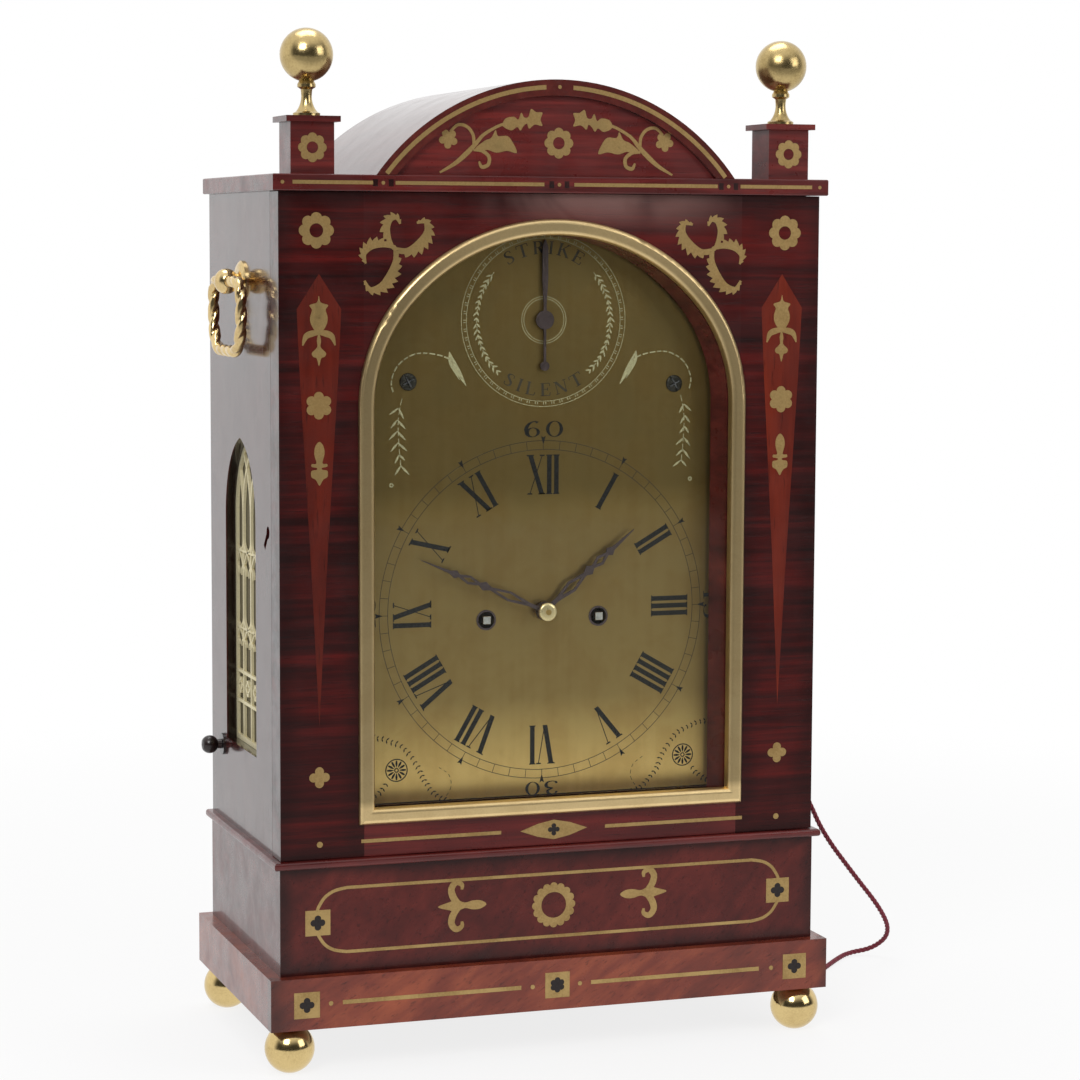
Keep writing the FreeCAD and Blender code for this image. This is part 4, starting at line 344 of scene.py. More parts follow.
# Each finish with its nodes; all others are movement brass.
FINISHES = (
    (plinth_wood, "plinth_frame"), (base_wood, "base_frame"), (door_wood, "front_stiles"),
    (head_wood, "front_arched_head"), (rail_wood, "front_bottom_rail"), (roof_wood, "roof_shell"),
    (side_wood, "side_panel_left side_panel_right"), (dark_wood, "dial_mask"), (back_wood, "back_door_frame"),
    (top_wood, "base_moulding cornice tympana finial_pedestals"), (oak, "bottom_board seat_board"),
    (knob_wood, "repeat_knob cord_toggle cord_bushes"), (fret_brass, "side_frets"), (ball_brass, "ball_feet"),
    (gilt_brass, "handle_left handle_right handle_bosses"), (bezel_brass, "front_bezel"), (bell_metal, "bell"),
    (finial_brass, "finials"), (dial_brass, "dial_plate"), (clear_glass(), "front_glass back_glass"),
    (blued, "minute_hand hour_hand strike_silent_hand"), (silk, "fret_silks repeat_cord"),
    (steel, "lock_bolt bell_stand strike_hammer pallets_and_crutch"),
)
finish_of = {name: material for material, names in FINISHES for name in names.split()}
for name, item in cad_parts.items():
    for place in item.material_slots:
        place.material = finish_of.get(name, work_brass)

floor_mesh = bpy.data.meshes.new("floor")
floor_mesh.from_pydata([(-9, -9, 0), (9, -9, 0), (9, 9, 0), (-9, 9, 0)], [], [(0, 1, 2, 3)])
floor = bpy.data.objects.new("floor", floor_mesh)
bpy.context.collection.objects.link(floor)


def pale_floor():
    """White to the camera, and in reflections a glow, pale near the object and dark beyond the front of the
    studio.
    """
    make = Shader("pale_floor")
    path = make.add("ShaderNodeLightPath").outputs
    x, y, _ = make.axes()
    soft = make.add("ShaderNodeBsdfDiffuse", Color=(0.80, 0.80, 0.80, 1))
    white = make.add("ShaderNodeEmission", Color=(1, 1, 1, 1), Strength=1.0)
    far = make.plus(make.math("POWER", x, 2.0), make.math("POWER", y, 2.0))
    seen = make.math("MAXIMUM", path["Is Camera Ray"], path["Is Transmission Ray"])
    share = make.times(seen, make.span(far, 0.05, 1.2, 0.82, 1.0))
    # The floor glows in glossy rays though it is no lamp, graded by distance, to light reflections.
    front = make.span(y, -3.2, -2.8)
    near = make.span(y, -1.1, -0.2)
    level = make.plus(make.times(front, 0.38), make.times(near, 0.5))
    tone = make.ramp(make.plus(level, 0.03), [(0.0, grey(0)), (1.0, grey(1))])
    floor_glow_in_reflections = make.add("ShaderNodeEmission", Color=tone, Strength=1.0)
    return make.finished(make.blend(path["Is Glossy Ray"], make.blend(share, soft, white), floor_glow_in_reflections))


floor.data.materials.append(pale_floor())


def world_light():
    """White behind the object and at its sides, and a dark studio in front of it in reflections."""
    world = bpy.data.worlds.new("studio")
    bpy.context.scene.world = world
    make = Shader("studio", world)
    path = make.add("ShaderNodeLightPath").outputs
    generated = make.add("ShaderNodeTexCoord").outputs["Generated"]
    way = make.add("ShaderNodeSeparateXYZ", Vector=generated).outputs
    pale = make.math("MAXIMUM", make.span(way[1], -0.35, 0.15), make.span(way[2], 0.35, 0.9))
    glossy = make.mix(pale, grey(0.05), grey(1.0))
    straight = make.math("MAXIMUM", path["Is Camera Ray"], path["Is Transmission Ray"])
    color = make.mix(straight, make.mix(path["Is Glossy Ray"], grey(0.55), glossy), grey(1.0))
    make.finished(make.add("ShaderNodeBackground", Color=color))


world_light()


def lamp(name, place, target, size, power):
    light = bpy.data.lights.new(name, "AREA")
    light.shape = "RECTANGLE"
    light.size, light.size_y = size
    light.energy = power
    item = bpy.data.objects.new(name, light)
    bpy.context.collection.objects.link(item)
    item.location = place
    item.rotation_mode = "QUATERNION"
    item.rotation_quaternion = (Vector(target) - Vector(place)).to_track_quat("-Z", "Y")


lamp("key", (-1.3, -1.9, 1.9), (0, 0, 0.3), (1.1, 1.1), 34)
lamp("fill", (1.6, -1.6, 1.1), (0, 0, 0.25), (1.2, 1.2), 12)
lamp("top", (0.0, 0.4, 2.2), (0, 0, 0.4), (1.4, 1.0), 16)


# ---------------------------------------------------------------- flat shapes in brass and wax


class Stroke(list):
    """An outline whose two sides run along each other, which is filled straight across."""


def moved(points, dx, dz, flip=1):
    return type(points)((dx + x, dz + z * flip) for x, z in points)


def mirrored(points):
    return type(points)((-x, z) for x, z in points)


def disc(x, z, radius, count=28):
    return [(x + radius * math.cos(a), z + radius * math.sin(a))
            for a in (2 * math.pi * i / count for i in range(count))]


def block(x0, z0, x1, z1):
    return [(x0, z0), (x1, z0), (x1, z1), (x0, z1)]


def petals(x, z, count, distance, radius, turn=90):
    """The outline round a ring of equal round lobes."""
    points = []
    steps = count * 14
    for i in range(steps):
        angle = 2 * math.pi * i / steps
        lobe = (angle - math.radians(turn)) * count / (2 * math.pi)
        off = (lobe - round(lobe)) * 2 * math.pi / count
        inside = radius ** 2 - (distance * math.sin(off)) ** 2
        reach = distance * math.cos(off) + math.sqrt(max(0.0, inside))
        points.append((x + reach * math.cos(angle), z + reach * math.sin(angle)))
    return points
def rosette(x, z, count, distance, radius, hole, smoothness=28):
    return [petals(x, z, count, distance, radius), disc(x, z, hole, smoothness)]


def symmetric(half):
    """A closed outline from its right half, which starts and may end on the middle line."""
    return half + [(-x, z) for x, z in reversed(half) if x]


def sided(side, *points):
    """The points, which may carry a width, on the right (1) or mirrored to the left (-1)."""
    return [(side * x, *rest) for x, *rest in points]

def smooth(points, steps=8, closed=False):
    """A curve through the points, and through any further numbers that they carry."""
    result = []
    count = len(points)
    last = count if closed else count - 1
    for i in range(last):
        if closed:
            a, b, c, d = (points[(i + k) % count] for k in (-1, 0, 1, 2))
        else:
            a, b, c, d = points[max(i - 1, 0)], points[i], points[i + 1], points[min(i + 2, count - 1)]
        for k in range(steps):
            t = k / steps
            result.append(tuple(0.5 * (2 * q + (r - p) * t + (2 * p - 5 * q + 4 * r - u) * t ** 2
                                       + (3 * q - p - 3 * r + u) * t ** 3)
                                for p, q, r, u in zip(a, b, c, d)))
    if not closed:
        result.append(tuple(points[-1]))
    return result


def ribbon(points, teeth=0, side=1, bite=0.35, steps=8):
    """The outline of a stroke of changing width; one side may be cut into leaf teeth."""
    line = smooth(points, steps) if steps > 1 else points
    left, right = [], []
    total = len(line)
    for i, (x, z, width) in enumerate(line):
        before, after = line[max(i - 1, 0)], line[min(i + 1, total - 1)]
        dx, dz = after[0] - before[0], after[1] - before[1]
        size = math.hypot(dx, dz) or 1.0
        dx, dz = dx / size, dz / size
        reach = [width / 2, width / 2]
        if teeth:
            phase = (i / (total - 1) * teeth) % 1.0
            reach[0 if side > 0 else 1] *= 1.0 + bite * (1.0 - 2.0 * phase)
        left.append((x - dz * reach[0], z + dx * reach[0]))
        right.append((x + dz * reach[1], z - dx * reach[1]))
    return Stroke(left + right[::-1])


def bar(x0, z0, x1, z1, width):
    return ribbon([(x0, z0, width), (x1, z1, width)], steps=1)


def sector(x, z, inner, outer, start, end, step=4.0):
    """A piece of a ring, its angles in degrees clockwise from the top."""
    count = max(2, int(abs(end - start) / step) + 1)
    angles = [math.radians(start + (end - start) * i / count) for i in range(count + 1)]
    return ([(x + outer * math.sin(a), z + outer * math.cos(a)) for a in angles]
            + [(x + inner * math.sin(a), z + inner * math.cos(a)) for a in reversed(angles)])


def loops_of(shape):
    return [shape] if isinstance(shape[0][0], (int, float)) else shape


def face_outwards(mesh):
    tidy = bmesh.new()
    tidy.from_mesh(mesh)
    bmesh.ops.recalc_face_normals(tidy, faces=tidy.faces)
    tidy.to_mesh(mesh)
    tidy.free()


def placed(name, mesh, material, body):
    mesh.materials.append(material)
    item = bpy.data.objects.new(name, mesh)
    bpy.context.collection.objects.link(item)
    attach(item, body)
    return item


def solid_plates(name, shapes, face, thickness, material, body="case"):
    """Thin plates standing on one upright plane; a shape is an outline or a list with its holes.

    Plates that lie over each other start at slightly different depths, so that no two faces coincide.
    """
    verts, faces = [], []
    for number, shape in enumerate(shapes):
        loops = loops_of(shape)
        base = len(verts)
        flat = [point for loop in loops for point in loop]
        step = 0.004 * (number % 5)
        for y in (face - step, face + thickness):
            verts.extend((x * MM, y * MM, z * MM) for x, z in flat)
        if isinstance(loops[0], Stroke):
            last = len(flat) - 1
            fill = [(i, i + 1, last - i - 1, last - i) for i in range(len(flat) // 2 - 1)]
        else:
            fill = tessellate_polygon([[Vector((x, z, 0)) for x, z in loop] for loop in loops])
        for patch in fill:
            faces.append(tuple(base + i for i in patch))
            faces.append(tuple(base + len(flat) + i for i in reversed(patch)))
        first = base
        for loop in loops:
            size = len(loop)
            for i in range(size):
                j = (i + 1) % size
                faces.append((first + i, first + j, first + j + len(flat), first + i + len(flat)))
            first += size
    mesh = bpy.data.meshes.new(name)
    mesh.from_pydata(verts, [], faces)
    face_outwards(mesh)
    return placed(name, mesh, material, body)


def build(name, verts, faces, material, slot, body="case", smooth_faces=True):
    mesh = bpy.data.meshes.new(name)
    mesh.from_pydata([tuple(v) for v in verts], [], faces)
    mesh.polygons.foreach_set("use_smooth", [smooth_faces] * len(faces))
    return placed(name, mesh, material, body)


PROUD = 0.12


def inlay(name, shapes, plane, body="case"):
    return solid_plates(name, shapes, plane - PROUD, 0.5, inlay_brass, body)


def cores(name, shapes, plane, body="case"):
    """Dark wood that shows through the inlay's openings."""
    solid_plates(name, shapes, plane - 0.04, 0.3, core_wood, body)


def both(shapes):
    """The shapes and their mirror images."""
    return list(shapes) + [[mirrored(loop) for loop in loops_of(shape)] for shape in shapes]


# ---------------------------------------------------------------- inlays of the door


def acanthus(points, widths, teeth, side):
    spine = [(x, z, width) for (x, z), width in zip(points, widths)]
    return ribbon(spine, teeth, side, 0.5, 14)


def leaf_group():
    arms = [
        acanthus([(-89.0, 430.2), (-91.8, 434.8), (-93.4, 440.6), (-91.2, 445.3), (-87.4, 446.0),
                  (-85.4, 442.6)], (1.2, 3.2, 5.0, 4.2, 2.8, 1.2), 9, 1),
        acanthus([(-89.0, 430.4), (-95.2, 432.6), (-101.6, 431.6), (-105.3, 427.4), (-103.9, 422.2)],
                 (1.2, 4.2, 5.0, 3.8, 1.0), 9, -1),
        acanthus([(-88.4, 430.2), (-81.4, 428.2), (-74.4, 431.7), (-70.3, 438.2), (-71.6, 443.9),
                  (-76.6, 443.2)], (1.2, 4.4, 6.4, 5.0, 3.2, 1.2), 12, -1),
        acanthus([(-88.6, 430.6), (-87.4, 423.8), (-89.6, 416.2), (-94.8, 410.2), (-101.4, 408.6),
                  (-104.6, 413.4)], (1.2, 4.0, 6.2, 5.2, 3.2, 1.2), 12, 1),
    ]
    return arms + [disc(-88.8, 430.4, 1.3)]


def tulip(x, z):
    """The tulip with drooping leaves and a drop below, its waist at the given place."""
    head = symmetric([(0, 19.8), (1.0, 16.4), (4.9, 15.0), (3.6, 12.6), (4.6, 9.0), (4.3, 5.6), (2.4, 2.2),
                      (0.9, 0.2)])
    drop = symmetric([(0, 0.8), (1.1, -3), (0.9, -6.4), (3.7, -9.4), (3.0, -11.4), (1.2, -12.2), (0, -16.2)])
    leaf = ((0.2, 0.6, 1.6), (3.2, 0.6, 3.2), (6.8, -1.0, 2.9), (8.6, -5.6, 0.7))
    leaves = [ribbon(sided(side, *leaf)) for side in (1, -1)]
    return [moved(shape, x, z) for shape in [smooth(head, 4, True), *leaves, smooth(drop, 4, True)]]


def acorn(x, z):
    """A bud in its cup over three round lobes, its collar at the given height."""
    bud = symmetric([(0, 12.0), (2.2, 9.6), (2.7, 5.6), (1.6, 1.0), (4.0, 0.6), (4.1, -0.8), (1.4, -1.4),
                     (1.6, -2.4), (4.2, -3.0), (4.3, -6.0), (2.4, -7.2), (1.4, -8.4), (0, -10.6)])
    return [moved(smooth(bud, 4, True), x, z)]


door_shapes = [rosette(-130, 439, 8, 6.2, 3.05, 3.6)] + leaf_group()
door_shapes += tulip(-128.8, 386.0) + [petals(-128.9, 349.6, 6, 4.5, 2.6)] + acorn(-128.7, 319)
door_shapes += [petals(-129.1, 156.4, 4, 3.1, 2.4), disc(-129, 121, 1.6)]
inlay("door_inlays", both(door_shapes), DOOR, "front_door")

spear = [(-128.7, 416.9), (-140.5, 398.9), (-138.8, 362), (-133.2, 265.5), (-129, 183.1),
         (-124.8, 265.5), (-118.8, 362), (-116.9, 398.9)]
solid_plates("spear_panels", both([spear]), DOOR - 0.05, 0.4, spear_wood, "front_door")

diamond = [(-18.9, 121.4), (-9, 124.9), (0, 126.7), (9, 124.9), (18.9, 121.4), (9, 117.9), (0, 116.1),
           (-9, 117.9)]
heart = petals(0, 121.4, 4, 2.0, 1.35, 0)
rail_shapes = [[diamond, heart], block(-106.6, 120.5, -29.6, 122.4), block(29.1, 120.5, 108.8, 122.4)]
inlay("rail_inlays", rail_shapes, DOOR, "front_door")
cores("rail_core", [heart], DOOR, "front_door")


# ---------------------------------------------------------------- inlays of base, plinth and top


def square_mark(x, z, half, count=4, reach=2.2, lobe=1.8):
    """A square with a flower cut out of it."""
    turn = 0 if count == 4 else 90
    return [block(x - half, z - half, x + half, z + half), petals(x, z, count, reach, lobe, turn)]


def fleur():
    """A fleur-de-lis lying on its side, its point towards the left."""
    blade = smooth([(-64.9, 83.7), (-58.6, 85.9), (-54.6, 87.0), (-50.0, 85.2), (-45.6, 86.0), (-41.2, 85.8),
                    (-37.9, 83.6), (-41.2, 81.4), (-45.6, 81.2), (-50.0, 82.2), (-54.6, 80.6), (-58.6, 81.6)],
                   4, True)
    curl = [(-52.8, 0.6, 2.6), (-56.2, 4.4, 3.8), (-57.4, 9.2, 3.6), (-54.8, 12.6, 3.2), (-51.6, 11.2, 2.4),
            (-51.6, 8.6, 1.4)]
    return [blade] + [moved(ribbon(curl), 0, 83.7, side) for side in (1, -1)]


base_marks = [square_mark(x, 79.8, 6.75) for x in (-130.3, 130.3)]
base_shapes = base_marks + both(fleur()) + [rosette(0, 80.5, 16, 10.1, 2.15, 7.0, 40)]
for height, way in ((97.6, -1), (63.5, 1)):
    base_shapes.append(block(-114.8, height - 0.85, 114.8, height + 0.85))
    bend = [(x, height + way * rise, 1.7) for x, rise in
            ((114.6, 0), (121.5, 1.4), (126.6, 4.6), (130.0, 9.6), (130.4, 11.4))]
    base_shapes += [ribbon(sided(side, *bend)) for side in (1, -1)]
inlay("base_inlays", base_shapes, BASE)

plinth_marks = [square_mark(x, 38.2, 6.9) for x in (-138, 138)] + [square_mark(0, 38.4, 6.9, 6, 2.6, 1.6)]
plinth_shapes = plinth_marks + [disc(x, 38.3, 1.2) for x in (-125.1, -14, 12.8, 124.1)]
plinth_shapes += [block(-118.7, 37.3, -20.4, 39.5), block(19.1, 37.3, 116.8, 39.5)]
inlay("plinth_inlays", plinth_shapes, PLINTH)
cores("base_cores", [mark[1] for mark in base_marks], BASE)
cores("plinth_cores", [mark[1] for mark in plinth_marks], PLINTH)

DOTS = (0, -95.5, 95.5)
cornice_lines = ((-143.3, -101), (-89, -8.3), (8.3, 89.2), (102.4, 144))
cornice_shapes = [block(a, 462.5, b, 464.4) for a, b in cornice_lines]
cornice_shapes += [disc(x, 463.4, 0.95) for x in (*DOTS, -148.6, 148.6)]
inlay("cornice_inlays", cornice_shapes, CORNICE)
cornice_dark = [block(x + dx - 1.3, 461.6, x + dx + 1.3, 465.2) for x in DOTS for dx in (-4.2, 4.2)]
solid_plates("cornice_blocks", cornice_dark, CORNICE - 0.05, 0.3, dark_wood)

ROOF_MIDDLE = 395.1
rim_shapes = [sector(0, ROOF_MIDDLE, 117.6, 119.9, *angles, 2.0) for angles in ((3.6, 52.0), (-52.0, -3.6))]
rim_shapes.append(disc(0, ROOF_MIDDLE + 118.8, 1.0))
inlay("roof_inlays", rim_shapes, CORNICE)


def spray():
    """The flowering branch on the right of the tympanum."""
    stem = ribbon([(64.4, 469.1, 1.0), (56.5, 473.6, 2.0), (50.4, 478.6, 2.6), (45.2, 483.8, 2.2),
                   (40.6, 488.8, 1.7), (33.4, 493.0, 1.5), (29.0, 494.6, 1.5)])
    bud = smooth([(30.2, 493.4), (28.8, 497.2), (24.2, 498.2), (21.8, 496.8), (20.2, 500.4), (18.6, 498.0),
                  (16.2, 498.4), (14.8, 502.4), (12.0, 500.8), (8.6, 500.6), (9.6, 497.0), (8.6, 493.8),
                  (12.8, 494.4), (15.8, 492.2), (17.0, 494.8), (19.0, 493.4), (20.6, 491.2), (22.4, 493.0),
                  (25.6, 491.2)], 4, True)
    leaf = smooth([(45.2, 481.6), (40.2, 485.6), (36.6, 487.2), (34.2, 491.2), (32.8, 488.2), (27.6, 488.2),
                   (24.4, 484.4), (22.6, 479.6), (27.8, 480.6), (33.6, 479.6), (38.6, 481.0),
                   (43.2, 480.0)], 4, True)
    curl = ribbon([(46.2, 480.8, 1.2), (41.4, 480.4, 1.8), (37.8, 477.4, 1.9), (38.2, 473.4, 1.9),
                   (41.6, 472.2, 1.9), (43.2, 475.0, 1.0)])
    tendril = ribbon([(46.0, 482.8, 1.6), (46.4, 488.4, 1.7), (49.6, 492.6, 1.7), (54.6, 493.6, 1.6),
                      (58.8, 490.0, 1.4)])
    return [stem, curl, tendril, bud, leaf, petals(59.8, 486.4, 5, 3.2, 1.9, 60)]


inlay("gable_inlays", [rosette(0.6, 485, 8, 5.4, 2.6, 3.2)] + both(spray()), GABLE)
inlay("pedestal_inlays", both([rosette(-131.8, 481, 8, 5.0, 2.5, 3.0)]), PEDESTAL)


# ---------------------------------------------------------------- the dial's engraving

STEM, HAIR = 0.16, 0.055


def hairs(*places):
    return [bar(*place, HAIR) for place in places]


def oval(x, z, wide, high, count):
    return [(x + wide * u, z + high * v) for u, v in disc(0, 0, 1, count)]


UPRIGHT = bar(0.15, 0, 0.15, 1, STEM)
SERIFS = hairs((0, 0.98, 0.3, 0.98), (0, 0.02, 0.3, 0.02))
GLYPHS = {
    "I": (0.30, [UPRIGHT, *reversed(SERIFS)]),
    "T": (0.80, [bar(0.4, 0, 0.4, 1, STEM),
                 *hairs((0, 0.98, 0.8, 0.98), (0.02, 0.98, 0, 0.76), (0.78, 0.98, 0.8, 0.76),
                        (0.22, 0.02, 0.58, 0.02))]),
    "E": (0.68, [UPRIGHT, *hairs((0, 0.98, 0.62, 0.98), (0.61, 0.98, 0.64, 0.76), (0.2, 0.52, 0.5, 0.52),
                                 (0.49, 0.4, 0.49, 0.64), (0, 0.02, 0.64, 0.02), (0.63, 0.02, 0.67, 0.26))]),
    "L": (0.66, [UPRIGHT, SERIFS[0], *hairs((0, 0.02, 0.6, 0.02), (0.6, 0.02, 0.65, 0.28))]),
    "N": (0.82, [*hairs((0.1, 0, 0.1, 1)), bar(0.12, 0.98, 0.7, 0.04, STEM),
                 *hairs((0.72, 0, 0.72, 1), (-0.02, 0.02, 0.22, 0.02), (-0.04, 0.98, 0.14, 0.98),
                        (0.6, 0.98, 0.84, 0.98))]),
    "K": (0.84, [UPRIGHT, *SERIFS, *hairs((0.16, 0.42, 0.68, 0.98)), bar(0.36, 0.6, 0.74, 0.02, STEM),
                 *hairs((0.56, 0.98, 0.8, 0.98), (0.62, 0.02, 0.86, 0.02))]),
    "R": (0.76, [UPRIGHT, *SERIFS,
                 ribbon([(0.16, 0.97, HAIR), (0.4, 0.97, 0.07), (0.55, 0.86, STEM), (0.55, 0.64, STEM),
                         (0.4, 0.51, 0.07), (0.16, 0.51, HAIR)]),
                 bar(0.38, 0.52, 0.66, 0.02, STEM), *hairs((0.56, 0.02, 0.78, 0.02))]),
    "S": (0.58, [ribbon([(0.5, 0.76, 0.06), (0.47, 0.93, 0.05), (0.28, 0.97, 0.06), (0.11, 0.86, 0.12),
                         (0.12, 0.68, 0.15), (0.3, 0.52, 0.16), (0.46, 0.36, 0.15), (0.46, 0.15, 0.12),
                         (0.28, 0.03, 0.06), (0.08, 0.06, 0.05), (0.04, 0.24, 0.06)])]),
    "0": (0.66, [[oval(0.33, 0.5, 0.33, 0.5, 40), oval(0.33, 0.5, 0.2, 0.46, 40)]]),
    "1": (0.36, [bar(0.18, 0, 0.18, 1, STEM), *hairs((0, 0.02, 0.36, 0.02), (0.02, 0.8, 0.18, 0.97))]),
    "3": (0.60, [ribbon([(0.08, 0.8, 0.13), (0.12, 0.92, 0.06), (0.3, 0.97, 0.05), (0.46, 0.86, 0.13),
                         (0.46, 0.68, 0.13), (0.24, 0.54, 0.05)]),
                 ribbon([(0.24, 0.54, 0.05), (0.46, 0.46, 0.12), (0.54, 0.28, 0.15), (0.46, 0.08, 0.1),
                         (0.26, 0.03, 0.05), (0.08, 0.1, 0.08), (0.08, 0.22, 0.13)])]),
    "4": (0.68, [bar(0.44, 0, 0.44, 1, STEM),
                 *hairs((0.42, 0.98, 0.03, 0.3), (0, 0.3, 0.66, 0.3), (0.28, 0.02, 0.6, 0.02))]),
    "5": (0.60, [bar(0.12, 0.94, 0.5, 0.94, 0.12), *hairs((0.12, 0.94, 0.1, 0.56)),
                 ribbon([(0.1, 0.56, 0.05), (0.28, 0.62, 0.06), (0.5, 0.5, 0.13), (0.54, 0.28, 0.15),
                         (0.44, 0.08, 0.1), (0.24, 0.03, 0.05), (0.08, 0.1, 0.08), (0.08, 0.22, 0.12)])]),
    "6": (0.64, [[oval(0.33, 0.3, 0.29, 0.3, 36), oval(0.35, 0.3, 0.15, 0.26, 36)],
                 ribbon([(0.1, 0.3, 0.1), (0.1, 0.56, 0.15), (0.22, 0.84, 0.12), (0.42, 0.97, 0.06),
                         (0.56, 0.88, 0.13)])]),
}


def text_on_ring(text, x, z, radius, height, middle, outward=True, spread=1.0, wide=1.0):
    """Letters round a circle, their feet on it; angles are clockwise from the top, in degrees."""
    gap = 0.16 * spread
    widths = [GLYPHS[letter][0] * wide for letter in text]
    total = sum(widths) + gap * (len(text) - 1)
    shapes = []
    start = -total / 2
    for letter, width in zip(text, widths):
        place = (start + width / 2) * height
        foot = radius if outward else radius + height
        step = math.degrees(place / (radius + height / 2))
        angle = math.radians(middle + (step if outward else -step))
        up = (math.sin(angle), math.cos(angle))
        along = (up[1], -up[0])
        if not outward:
            up, along = (-up[0], -up[1]), (-along[0], -along[1])
        origin = (x + math.sin(angle) * foot, z + math.cos(angle) * foot)
        for shape in GLYPHS[letter][1]:
            shapes.append([type(loop)(
                (origin[0] + (u * wide - width / 2) * height * along[0] + v * height * up[0],
                 origin[1] + (u * wide - width / 2) * height * along[1] + v * height * up[1])
                for u, v in loop) for loop in loops_of(shape)])
        start += width + gap
    return shapes


def roman(text, hour):
    """A numeral standing on the circle of its feet, its strokes thick and thin by turns."""
    foot, height, narrow = 62.4, 21.2, 0.86
    pens = []
    reach = 0.0
    for letter in text:
        if letter == "I":
            strokes = [((1.7, 0), (1.7, 1), 3.0)]
            ends = [(0.0, 3.4, 0), (0.0, 3.4, 1)]
            width = 3.4
        elif letter == "V":
            strokes = [((1.9, 1), (6.1, 0), 3.1), ((10.4, 1), (6.3, 0), 0.55)]
            ends = [(-0.2, 4.0, 1), (9.0, 11.6, 1)]
            width = 11.4
        else:
            strokes = [((1.9, 1), (9.6, 0), 3.1), ((9.8, 1), (1.6, 0), 0.55)]
            ends = [(-0.2, 4.0, 1), (8.4, 11.0, 1), (0.4, 3.0, 0), (7.6, 11.6, 0)]
            width = 11.4
        pens.append((reach, strokes, ends))
        reach += width + 1.3
    reach -= 1.3
    shapes = []
    angle = math.radians(hour * 30)
    up, along = (math.sin(angle), math.cos(angle)), (math.cos(angle), -math.sin(angle))

    def put(outline):
        return [(narrow * u * along[0] + (foot + v * height) * up[0],
                 CENTRE + narrow * u * along[1] + (foot + v * height) * up[1]) for u, v in outline]

    for start, strokes, ends in pens:
        for (a, b), (c, d), thick in strokes:
            u0, u1 = start + a - reach / 2, start + c - reach / 2
            half = thick / 2
            shapes.append(put([(u0 - half, b), (u1 - half, d), (u1 + half, d), (u0 + half, b)]))
        for a, b, level in ends:
            lift = 0.035 if level == 0 else -0.035
            shapes.append(put([(start + a - reach / 2 - 0.5, level), (start + b - reach / 2 + 0.5, level),
                               (start + b - reach / 2, level + lift), (start + a - reach / 2, level + lift)]))
    return shapes


def radial(x, z, inner, outer, degrees, width):
    """A stroke along a ray, its angle clockwise from the top."""
    right, up = math.sin(math.radians(degrees)), math.cos(math.radians(degrees))
    return bar(x + inner * right, z + inner * up, x + outer * right, z + outer * up, width)


def dashed(points, on, off, width, steps=10):
    """Short strokes along a smooth line."""
    line = smooth(points, steps)
    shapes, piece, run, drawing = [], [line[0]], 0.0, True
    for a, b in zip(line, line[1:]):
        run += math.hypot(b[0] - a[0], b[1] - a[1])
        piece.append(b)
        if run > (on if drawing else off):
            if drawing:
                shapes.append(ribbon([(x, z, width) for x, z in piece], steps=1))
            piece, run, drawing = [b], 0.0, not drawing
    return shapes


def leafy(points, pitch, size, width, lean=50):
    """Pairs of small leaves along a smooth line."""
    line = smooth(points, 12)
    shapes, run = [], pitch / 2
    for a, b in zip(line, line[1:]):
        dx, dz = b[0] - a[0], b[1] - a[1]
        step = math.hypot(dx, dz)
        run += step
        if run < pitch or step == 0:
            continue
        run = 0.0
        for side in (1, -1):
            angle = math.atan2(dz, dx) + side * math.radians(lean + random.uniform(-9, 9))
            long = size * random.uniform(0.65, 1.1)
            tip = (b[0] + long * math.cos(angle), b[1] + long * math.sin(angle))
            middle = ((b[0] + tip[0]) / 2, (b[1] + tip[1]) / 2)
            shapes.append(ribbon([(*b, width * 0.5), (*middle, width * 1.5), (*tip, width * 0.3)], steps=3))
    return shapes


def minute_ring():
    """The minute circle, and the marks over its hours."""
    shapes = [[disc(0, CENTRE, outer, 180), disc(0, CENTRE, outer - 0.34, 180)] for outer in (91.3, 86.6)]
    marks = []
    for minute in range(60):
        shapes.append(radial(0, CENTRE, 86.4, 91.2, minute * 6, 0.3))
        if minute % 5 == 0:
            a = math.radians(minute * 6)
            up, along = (math.sin(a), math.cos(a)), (math.cos(a), -math.sin(a))
            mark = [(-1.3, 93.6), (-0.2, 89.6), (0.2, 89.6), (1.3, 93.6), (0, 92.9)]
            marks.append([(u * along[0] + v * up[0], CENTRE + u * along[1] + v * up[1]) for u, v in mark])
    return shapes, marks


def strike_ring():
    shapes = []
    for outer in (46.2, 43.4, 12.6, 11.4):
        shapes.append([disc(0, STRIKE, outer, 120), disc(0, STRIKE, outer - 0.3, 120)])
    for i in range(120):
        shapes.append(radial(0, STRIKE, 43.6, 45.0, i * 3 + 1.4 * (i % 2), 0.4))
    for side in (1, -1):
        arc = [(side * 37.6 * math.sin(math.radians(a)), STRIKE + 37.6 * math.cos(math.radians(a)))
               for a in range(48, 137, 8)]
        shapes += leafy(arc, 2.9, 3.4, 0.62, 34)
        shapes += dashed(arc, 2.2, 1.2, 0.36, 6)
    return shapes


